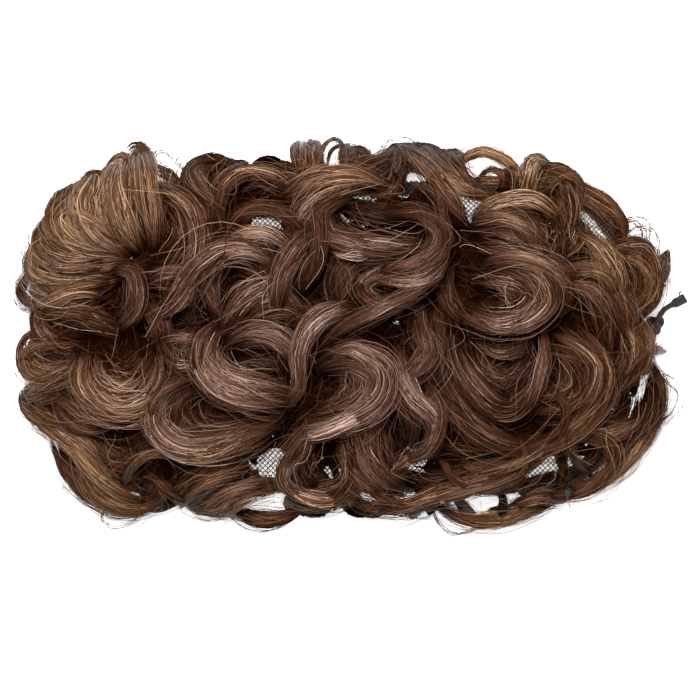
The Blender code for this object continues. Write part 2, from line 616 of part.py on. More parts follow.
def build_hair(group, cutters):
    backing = build_backing(cutters)
    locks = build_locks(cutters)
    bm = bmesh.new()
    for source in (backing, locks):
        piece = evaluated_mesh(source)
        bm.from_mesh(piece)
        bpy.data.meshes.remove(piece)
    bmesh.ops.remove_doubles(bm, verts=bm.verts, dist=1e-6)
    mesh = bpy.data.meshes.new("curled_hair")
    bm.to_mesh(mesh)
    bm.free()
    bpy.data.objects.remove(backing)
    bpy.data.objects.remove(locks)
    rough = add_object("curled_hair_rough", mesh, cutters)
    fuse = rough.modifiers.new("fuse", "REMESH")
    fuse.mode = "VOXEL"
    fuse.voxel_size = HAIR_VOXEL
    soften = rough.modifiers.new("soften", "SMOOTH")
    soften.factor = 0.5
    soften.iterations = SMOOTHING_COUNT
    fused = evaluated_mesh(rough)
    largest_body(fused)
    rough.modifiers.clear()
    rough.data = fused
    thin = rough.modifiers.new("thin", "DECIMATE")
    thin.ratio = TRIANGLE_COUNT / (2 * len(fused.polygons))
    form = evaluated_mesh(rough)
    fit_to_sizes(form)
    rough.modifiers.clear()
    rough.data = form

    beyond = HAIR_LENGTH
    seat = add_object("hair_seat", dome("hair_seat", SEAT_GAP, -0.2 * HAIR_HEIGHT, closed=True), cutters)
    as_cutter(seat)
    table = box_cutter("table", (-beyond, -beyond, -beyond), (beyond, beyond, 0), cutters)
    way = [place.y for place in cord_centres()]
    low = (NET_LENGTH / 2 - HEM_WIDTH / 2, min(way) - DOOR_SIDE, -0.1 * HAIR_HEIGHT)
    high = (beyond, max(way) + DOOR_SIDE, DOOR_HEIGHT)
    door = box_cutter("drawstring_door", low, high, cutters)
    for name, cutter in (("seat", seat), ("table", table), ("door", door)):
        cut(rough, name, cutter)
    whole = evaluated_mesh(rough)
    bpy.data.objects.remove(rough)
    largest_body(whole)
    hair = add_object("curled_hair", whole, group, material("brown_hair", (0.130, 0.070, 0.045), 0.45))
    whole.shade_smooth()
    return hair


def build():
    clear_scene()
    group = collection("top_knot_hairpiece")
    cutters = collection("cutters")
    build_net(group)
    build_hem(group)
    plastic = material("comb_plastic", (0.035, 0.018, 0.012), 0.35)
    build_comb("comb_left", -1, group, plastic)
    build_comb("comb_right", 1, group, plastic)
    build_drawstring(group)
    build_hair(group, cutters)


build()
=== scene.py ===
"""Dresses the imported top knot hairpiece: strands, net, hem, combs and elastic, seen from straight above."""

import math

import bpy
import numpy as np
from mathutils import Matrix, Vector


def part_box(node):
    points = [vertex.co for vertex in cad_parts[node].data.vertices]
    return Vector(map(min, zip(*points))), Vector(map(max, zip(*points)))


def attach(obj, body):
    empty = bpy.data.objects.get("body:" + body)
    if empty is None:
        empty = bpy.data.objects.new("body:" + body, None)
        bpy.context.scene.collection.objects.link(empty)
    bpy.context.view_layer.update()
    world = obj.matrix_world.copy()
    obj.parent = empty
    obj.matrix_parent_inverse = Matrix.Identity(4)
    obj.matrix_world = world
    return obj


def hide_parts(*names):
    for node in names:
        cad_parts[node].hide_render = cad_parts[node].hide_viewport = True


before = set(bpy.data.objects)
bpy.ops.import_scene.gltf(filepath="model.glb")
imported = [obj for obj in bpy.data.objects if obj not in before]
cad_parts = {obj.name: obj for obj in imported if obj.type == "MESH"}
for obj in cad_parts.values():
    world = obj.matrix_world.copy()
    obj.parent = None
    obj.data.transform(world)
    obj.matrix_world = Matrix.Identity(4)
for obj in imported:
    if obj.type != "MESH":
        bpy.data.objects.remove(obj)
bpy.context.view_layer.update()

# The camera looks straight down with a long lens. PIXEL is what one pixel of the 700 by 700
# photograph covers on the table, and HAIR_CENTRE is where the hair's middle lies in it.
FRAME_PIXELS = 700
PIXEL = 0.0003805
HAIR_CENTRE = (343.5, 337.0)
LENS = 180.0
SENSOR = 36.0
SIGHT_HEIGHT = 0.016

camera = bpy.data.objects.new("camera", bpy.data.cameras.new("camera"))
bpy.context.scene.collection.objects.link(camera)
camera.data.lens = LENS
camera.data.sensor_width = SENSOR
camera.data.dof.use_dof = False
half_frame = FRAME_PIXELS * PIXEL / 2
camera.location = (
    (FRAME_PIXELS / 2 - HAIR_CENTRE[0]) * PIXEL,
    (HAIR_CENTRE[1] - FRAME_PIXELS / 2) * PIXEL,
    SIGHT_HEIGHT + half_frame * 2 * LENS / SENSOR,
)
camera.data.clip_end = 20
bpy.context.scene.camera = camera


# The drawstring: one braided black elastic, 2 mm thick. It comes out of the hem's channel at the
# right end, runs on the table into a tight overhand knot, and ends in a cut, frayed tip.
CORD_DIAMETER = 0.0020
CORD_GAP = 0.0003
CORD_STEPS = 60
# The route's places from where the cord leaves the hem, in cord diameters.
CORD_ROUTE = [
    (0.0, -4.4, 1.5),
    (1.6, -4.4, 1.3),
    (3.1, -3.6, 1.0),
    (4.0, -2.1, 1.0),
    (4.3, -0.8, 1.4),
    (4.4, 1.7, 1.75),
    (5.0, 3.2, 1.75),
    (6.4, 5.2, 1.4),
    (7.4, 5.9, 0.9),
    (8.4, 6.5, 0.6),
    (9.4, 7.0, 0.52),
    (10.5, 7.6, 0.52),
]


def smooth_run(points, count):
    """Evenly spaced points along a smooth curve through the given ones."""
    points = np.asarray(points, float)
    chain = np.vstack([2 * points[0] - points[1], points, 2 * points[-1] - points[-2]])
    t = np.linspace(0, 1, 16, endpoint=False)[:, None]
    fine = []
    for a, b, c, d in zip(chain, chain[1:], chain[2:], chain[3:]):
        second = (2 * a - 5 * b + 4 * c - d) * t**2
        third = (3 * b - a - 3 * c + d) * t**3
        fine.append(0.5 * (2 * b + (c - a) * t + second + third))
    fine = np.vstack([*fine, points[-1:]])
    along = np.concatenate([[0], np.cumsum(np.linalg.norm(np.diff(fine, axis=0), axis=1))])
    wanted = np.linspace(0, along[-1], count)
    return np.stack([np.interp(wanted, along, fine[:, axis]) for axis in range(3)], axis=1)


def frames(lines):
    """The unit directions sideways and upwards of lines at each of their points."""
    ahead = np.gradient(lines, axis=-2)
    ahead /= np.linalg.norm(ahead, axis=-1, keepdims=True) + 1e-12
    aside = np.cross(ahead, np.array([0.02, 0.03, 1.0]))
    aside /= np.linalg.norm(aside, axis=-1, keepdims=True) + 1e-12
    return aside, np.cross(aside, ahead)


def tubes(lines, girths, tones, sides):
    """Closed tubes along lines (tubes by points by 3). girths are half widths and half heights."""
    count, steps, _ = lines.shape
    aside, over = frames(lines)
    turn = (np.arange(sides) * math.tau / sides - math.pi / 2)[:, None]
    wide = aside[:, :, None, :] * np.cos(turn) * girths[:, :, None, 0:1]
    high = over[:, :, None, :] * np.sin(turn) * girths[:, :, None, 1:2]
    index = np.arange(count * steps * sides).reshape(count, steps, sides)
    near, far = index[:, :-1, :], index[:, 1:, :]
    walls = np.stack([near, np.roll(near, -1, axis=2), np.roll(far, -1, axis=2), far], axis=-1)
    caps = np.concatenate([index[:, 0, ::-1], index[:, -1, :]])
    shade = np.repeat(tones[:, :, None], sides, axis=2)
    across = np.arange(sides) / sides * math.tau * girths[:, :, None, 0]
    return lines[:, :, None, :] + wide + high, [walls.reshape(-1, 4), caps], shade, across


def ribbons(lines, half_widths, tones):
    """Thin strips along lines, one quad wide. half_widths are vectors across each strip."""
    count, steps, _ = lines.shape
    corners = np.stack([lines - half_widths, lines + half_widths], axis=2)
    index = np.arange(count * steps * 2).reshape(count, steps, 2)
    near, far = index[:, :-1, :], index[:, 1:, :]
    strips = np.stack([near[..., 0], near[..., 1], far[..., 1], far[..., 0]], axis=-1)
    shade = np.repeat(tones[:, :, None], 2, axis=2)
    return corners, [strips.reshape(-1, 4)], shade, np.zeros((count, steps, 2))


def join_up(name, groups, material):
    """One mesh of many tubes and ribbons, with a tone and a grain that runs along each."""
    corners, loops, sizes, shades, grains = [], [], [], [], []
    first = 0
    for number, (points, faces, shade, across) in enumerate(groups):
        steps = np.diff(points[:, :, 0], axis=1, prepend=points[:, :1, 0])
        grain = np.zeros(points.shape)
        grain[..., 0] = np.cumsum(np.linalg.norm(steps, axis=-1), axis=1)[:, :, None]
        grain[..., 1] = across
        grain[..., 2] = (np.arange(len(points)) + number * 7.3)[:, None, None]
        for some in faces:
            loops.append((some + first).ravel())
            sizes.append(np.full(len(some), some.shape[1]))
        corners.append(points.reshape(-1, 3))
        shades.append(shade.ravel())
        grains.append(grain.reshape(-1, 3))
        first += points.size // 3
    corners, loops, sizes = np.vstack(corners), np.concatenate(loops), np.concatenate(sizes)
    mesh = bpy.data.meshes.new(name)
    mesh.vertices.add(len(corners))
    mesh.vertices.foreach_set("co", corners.ravel())
    mesh.loops.add(len(loops))
    mesh.loops.foreach_set("vertex_index", loops.astype(np.int32))
    mesh.polygons.add(len(sizes))
    starts = np.concatenate([[0], np.cumsum(sizes)[:-1]])
    mesh.polygons.foreach_set("loop_start", starts.astype(np.int32))
    mesh.update(calc_edges=True)
    mesh.shade_smooth()
    tone = mesh.attributes.new("tone", "FLOAT", "POINT")
    tone.data.foreach_set("value", np.concatenate(shades))
    grain = mesh.attributes.new("grain", "FLOAT_VECTOR", "POINT")
    grain.data.foreach_set("vector", np.vstack(grains).ravel())
    mesh.materials.append(material)
    piece = bpy.data.objects.new(name, mesh)
    bpy.context.scene.collection.objects.link(piece)
    return piece


def round_girth(lines, radius):
    """The same round girth at each point of each line."""
    return np.full((*lines.shape[:2], 2), radius)


def plain_material(name, colour, roughness):
    """A finish to build on: its colour and relief are then linked to a pattern."""
    material = bpy.data.materials.new(name)
    material.use_nodes = True
    shader = material.node_tree.nodes["Principled BSDF"]
    shader.inputs["Base Color"].default_value = (*colour, 1)
    shader.inputs["Roughness"].default_value = roughness
    return material, material.node_tree, shader


def wire(tree, *pairs):
    """Links each pair of an output and an input."""
    for source, target in pairs:
        tree.links.new(source, target)


def mottled(name, colour, roughness, scale, dark, pale, ends=(0, 1), distortion=0, relief_depth=0):
    """A finish that noise in the object's own space shades from dark to pale, with relief if deep."""
    material, tree, shader = plain_material(name, colour, roughness)
    place = tree.nodes.new("ShaderNodeTexCoord")
    noise = tree.nodes.new("ShaderNodeTexNoise")
    noise.inputs["Scale"].default_value = scale
    noise.inputs["Distortion"].default_value = distortion
    shades = tree.nodes.new("ShaderNodeValToRGB")
    for stop, position, shade in zip(shades.color_ramp.elements, ends, (dark, pale)):
        stop.position = position
        stop.color = (*shade, 1)
    wire(
        tree,
        (place.outputs["Object"], noise.inputs["Vector"]),
        (noise.outputs["Fac"], shades.inputs["Fac"]),
        (shades.outputs["Color"], shader.inputs["Base Color"]),
    )
    if relief_depth:
        relief = tree.nodes.new("ShaderNodeBump")
        relief.inputs["Distance"].default_value = relief_depth
        wire(
            tree,
            (noise.outputs["Fac"], relief.inputs["Height"]),
            (relief.outputs["Normal"], shader.inputs["Normal"]),
        )
    return material


elastic = mottled(
    "braided_elastic",
    (0.012, 0.012, 0.014),
    0.75,
    scale=2200,
    dark=(0.003, 0.003, 0.004),
    pale=(0.040, 0.040, 0.043),
    ends=(0.40, 0.75),
    relief_depth=0.0002,
)
hem_low, hem_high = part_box("hem_band")
cord_start = np.array([hem_high.x + CORD_GAP, 0, 0])
cord_line = smooth_run(cord_start + np.array(CORD_ROUTE) * CORD_DIAMETER, CORD_STEPS)
line = cord_line[None]
tones = np.full((1, CORD_STEPS), 0.5)
cord_tube = tubes(line, round_girth(line, CORD_DIAMETER / 2), tones, 12)
drawstring = join_up("drawstring_cord", [cord_tube], elastic)
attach(drawstring, "root")
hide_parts("drawstring", "drawstring_tail")

# The knot: the same elastic tied in an overhand knot, whose turns draw up into a lump round the cord.
KNOT_UNIT = 0.00095
KNOT_LEAN = 0.35
KNOT_STEPS = 72

knot_low, knot_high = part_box("drawstring_knot")
turn = np.linspace(0, math.tau, KNOT_STEPS)
knot_x = np.sin(turn) + 2 * np.sin(2 * turn)
knot_y = np.cos(turn) - 2 * np.cos(2 * turn)
knot_z = -1.2 * np.sin(3 * turn) + KNOT_LEAN * knot_x
knot_line = KNOT_UNIT * np.stack([knot_x, knot_y * 1.15, knot_z], axis=1)
knot_line += np.array((knot_low + knot_high) / 2)
knot_line[:, 2] += CORD_DIAMETER / 2 + 0.0001 - knot_line[:, 2].min()
line = knot_line[None]
tones = np.full((1, KNOT_STEPS), 0.5)
knot = join_up("knot_turns", [tubes(line, round_girth(line, CORD_DIAMETER / 2), tones, 10)], elastic)
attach(knot, "root")
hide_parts("drawstring_knot")

# The cut tip: the braid's threads spring apart where the elastic was snipped, into a ragged club,
# and one of them is pulled out in a thin hook.
FRAY_COUNT = 64
FRAY_START = 0.0060
FRAY_PAST = 0.0004
FRAY_RAGGED = 0.0017
FRAY_SPREAD = 0.0017
FRAY_STEPS = 9
FRAY_RADIUS = 0.00024
FRAY_CORE = CORD_DIAMETER * 0.4
HOOK_UNIT = 0.0011

dice = np.random.default_rng(11)
tip = cord_line[-1]
tip_way = cord_line[-1] - cord_line[-3]
tip_way /= np.linalg.norm(tip_way)
side_way = np.array([-tip_way[1], tip_way[0], 0])
up_way = np.cross(tip_way, side_way)
fray_lines = []
for _ in range(FRAY_COUNT):
    angle = dice.uniform(0, math.tau)
    begin = -FRAY_START * dice.uniform(0.75, 1.0)
    end = FRAY_PAST - FRAY_RAGGED * dice.uniform(0, 1)
    girth = FRAY_SPREAD * dice.uniform(0.45, 1.0)
    twist = dice.normal(0, 0.9)
    line = []
    for t in np.linspace(0, 1, FRAY_STEPS):
        out = FRAY_CORE + (girth - FRAY_CORE) * math.sin(math.pi * min(t * 1.2, 0.5))
        side = side_way * math.cos(angle + twist * t) * out
        lift = up_way * math.sin(angle + twist * t) * out * 0.8
        line.append(tip + tip_way * (begin + (end - begin) * t) + side + lift)
    fray_lines.append(line)
for offset in (-0.15, 0, 0.15):
    hook = [(-2.2, 0.6), (-1.5, 1.3), (-1.2, 2.0), (-0.8 + offset, 2.5), (-0.2 + offset, 2.4 + offset)]
    hook = [tip + (tip_way * a + side_way * b) * HOOK_UNIT for a, b in hook]
    fray_lines.append(smooth_run(hook, FRAY_STEPS))
fray_lines = np.array(fray_lines)
fray_lines[:, :, 2] = np.maximum(fray_lines[:, :, 2], 0.0003)
girths = round_girth(fray_lines, FRAY_RADIUS)
fray = join_up("cord_fray", [tubes(fray_lines, girths, np.full(fray_lines.shape[:2], 0.5), 4)], elastic)
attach(fray, "root")

# The hem: a bias-cut cloth channel bound round the net's rim, gathered in small puckers by the
# elastic that runs in it.
HEM_CORNER = 0.036
PUCKER_COUNT = 150
PUCKER_DEPTH = 0.0004
HEM_SIDES = 12


def rounded_outline(half_x, half_y, corner, steps):
    """A rounded rectangle, counter-clockwise from its right end."""
    places = []
    for quarter, (sx, sy) in enumerate(((1, 1), (-1, 1), (-1, -1), (1, -1))):
        for step in range(steps + 1):
            angle = math.pi / 2 * (quarter + step / steps)
            x = sx * (half_x - corner) + corner * math.cos(angle)
            y = sy * (half_y - corner) + corner * math.sin(angle)
            places.append((x, y, 0))
    return np.array([*places, places[0]])


def woven_tape():
    """Dark binding cloth: a fine weave, paler where the threads cross."""
    material, tree, shader = plain_material("woven_tape", (0.02, 0.014, 0.012), 0.85)
    place = tree.nodes.new("ShaderNodeTexCoord")
    weave = tree.nodes.new("ShaderNodeTexVoronoi")
    weave.inputs["Scale"].default_value = 1900
    shades = tree.nodes.new("ShaderNodeValToRGB")
    shades.color_ramp.elements[0].color = (0.050, 0.036, 0.030, 1)
    shades.color_ramp.elements[1].color = (0.010, 0.006, 0.005, 1)
    relief = tree.nodes.new("ShaderNodeBump")
    relief.inputs["Distance"].default_value = 0.00015
    relief.invert = True
    wire(
        tree,
        (place.outputs["Object"], weave.inputs["Vector"]),
        (weave.outputs["Distance"], shades.inputs["Fac"]),
        (shades.outputs["Color"], shader.inputs["Base Color"]),
        (weave.outputs["Distance"], relief.inputs["Height"]),
        (relief.outputs["Normal"], shader.inputs["Normal"]),
    )
    return material


hem_half = (hem_high - hem_low) / 2
hem_radius = hem_half.z
outline = rounded_outline(hem_half.x - hem_radius, hem_half.y - hem_radius, HEM_CORNER - hem_radius, 24)
along = np.concatenate([[0], np.cumsum(np.linalg.norm(np.diff(outline, axis=0), axis=1))])
around = np.linspace(0, along[-1], PUCKER_COUNT * 4, endpoint=False)
middle = np.stack([np.interp(around, along, outline[:, axis]) for axis in range(3)], axis=1)
middle[:, 2] = hem_radius
ahead = np.roll(middle, -1, axis=0) - np.roll(middle, 1, axis=0)
ahead /= np.linalg.norm(ahead, axis=1, keepdims=True)
outward = np.cross(ahead, (0, 0, 1))
phase = math.tau * PUCKER_COUNT * around / along[-1] + 1.3 * np.sin(np.arange(len(around)) * 0.07)
girth = hem_radius - PUCKER_DEPTH * (0.5 + 0.5 * np.sin(phase))
turn = np.arange(HEM_SIDES) * math.tau / HEM_SIDES
wide = outward[:, None, :] * np.cos(turn)[:, None] * girth[:, None, None]
high = np.array([0, 0, 1.0]) * np.sin(turn)[:, None] * girth[:, None, None]
rings = middle[:, None, :] + wide + high
index = np.arange(rings.shape[0] * HEM_SIDES).reshape(-1, HEM_SIDES)
next_ring = np.roll(index, -1, axis=0)
quads = np.stack([index, next_ring, np.roll(next_ring, -1, axis=1), np.roll(index, -1, axis=1)], axis=-1)
hem_mesh = bpy.data.meshes.new("hem_puckered")
hem_mesh.from_pydata(rings.reshape(-1, 3).tolist(), [], quads.reshape(-1, 4).tolist())
hem_mesh.shade_smooth()
hem_mesh.materials.append(woven_tape())
hem = bpy.data.objects.new("hem_puckered", hem_mesh)
bpy.context.scene.collection.objects.link(hem)
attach(hem, "root")
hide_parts("hem_band")

# The net: knotted diamond netting of fine dark thread, stretched in a low dome over the hem and
# sewn down to it all round.
NET_SKIRT = 0.003
NET_CORNER = 0.036
NET_POWER = 2.4
NET_WALL = 0.0015
NET_PITCH = 0.00138
THREAD_RADIUS = 0.00020
THREAD_STEPS = 36
THREAD_TRIES = 1600


def net_share(x, y):
    """How far a place lies from the crown towards the rim, where the rim is 1 all round."""
    x, y = np.abs(x), np.abs(y)
    far_x, far_y = net_half.x - NET_CORNER, net_half.y - NET_CORNER
    share = np.maximum(x / net_half.x, y / net_half.y)
    lead = x * far_x + y * far_y
    spare = far_x**2 + far_y**2 - NET_CORNER**2
    root = np.sqrt(np.maximum(lead**2 - spare * (x**2 + y**2), 0))
    for option in ((lead + root) / spare, (lead - root) / spare):
        fits = (x > option * far_x) & (y > option * far_y) & (option > 0)
        share = np.where(fits, np.maximum(share, option), share)
    return share


def net_height(x, y):
    """The middle of the netting over a place on the table."""
    share = np.minimum(net_share(x, y), 1)
    shoulder = net_low.z + NET_SKIRT
    rise = net_high.z - shoulder
    return shoulder + rise * (1 - share**NET_POWER) ** (1 / NET_POWER) - NET_WALL / 2


net_thread = mottled(
    "net_thread",
    (0.035, 0.020, 0.014),
    0.5,
    scale=300,
    dark=(0.030, 0.018, 0.013),
    pale=(0.110, 0.070, 0.052),
    ends=(0.35, 0.70),
)
net_low, net_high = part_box("net_base")
net_half = (net_high - net_low) / 2
net_lines = []
reach = np.linspace(-0.2, 0.2, THREAD_TRIES)
for slant in (1, -1):
    for offset in np.arange(-0.13, 0.13, NET_PITCH):
        x = (reach + offset) * math.sqrt(0.5)
        y = slant * (reach - offset) * math.sqrt(0.5)
        inside = np.flatnonzero(net_share(x, y) < 0.997)
        if len(inside) < 30:
            continue
        keep = np.linspace(inside[0], inside[-1], THREAD_STEPS)
        x, y = np.interp(keep, np.arange(THREAD_TRIES), x), np.interp(keep, np.arange(THREAD_TRIES), y)
        line = np.stack([x, y, net_height(x, y) + slant * THREAD_RADIUS * 0.5], axis=1)
        feet = line[[0, -1]].copy()
        feet[:, 2] = net_low.z
        net_lines.append(np.vstack([feet[:1], line, feet[1:]]))
net_lines = np.array(net_lines)
tones = np.full(net_lines.shape[:2], 0.5)
net = join_up("net_threads", [tubes(net_lines, round_girth(net_lines, THREAD_RADIUS), tones, 3)], net_thread)
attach(net, "root")
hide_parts("net_base")

# The combs: two moulded dark brown plastic combs, sewn inside the two ends of the hem, with their
# teeth towards the middle.
comb_plastic = mottled(
    "comb_plastic",
    (0.035, 0.018, 0.012),
    0.3,
    scale=90,
    dark=(0.020, 0.010, 0.007),
    pale=(0.075, 0.036, 0.020),
    distortion=1.5,
)
for name in ("comb_left", "comb_right"):
    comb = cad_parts[name]
    comb.data.materials.clear()
    comb.data.materials.append(comb_plastic)

# The curls: locks of synthetic hair, curled and sewn to the net in rows, each a flat bundle of
# strands that rises from between its neighbours, turns over and dives back under them.
PLAN_POWER = 3.0
SIDE_POWER = 2.3
LEVEL_LOW = 0.70
LEVEL_STEP = 0.10
LOCK_FLATNESS = 0.46
LOCK_END = 0.30
LOCK_DIVE = 0.010
LOCK_STEP = 0.0055
LOCK_TURN = 0.55
# Painted highlight: how much paler a lock is drawn where it runs across the light.
LOCK_PAINTED_HIGHLIGHT = 0.15
LINE_POINTS = 90
STRAND_WIDTH = 0.00021
STRANDS_PER_METRE = 12100
BUNDLE_WIDTH = 0.0026
BUNDLE_DRIFT = 0.38
# Painted shade: the bundle cores are drawn darker than the strands, as the shade inside a lock.
BODY_PAINTED_SHADE = 0.66
# Painted shade: how dark a lock's strands are drawn at its ends, where it dives under its neighbours.
END_PAINTED_SHADE = 0.30
LOOSE_SHARE = 0.42
LOOSE_REACH = 1.25
FRIZZ_SHARE = 0.12
CRIMP_DEPTH = 0.00018
BUNDLE_TONES = 0.08
STRAND_TONES = 0.15
TONE_LOW = 0.05
TONE_STEP = 0.075
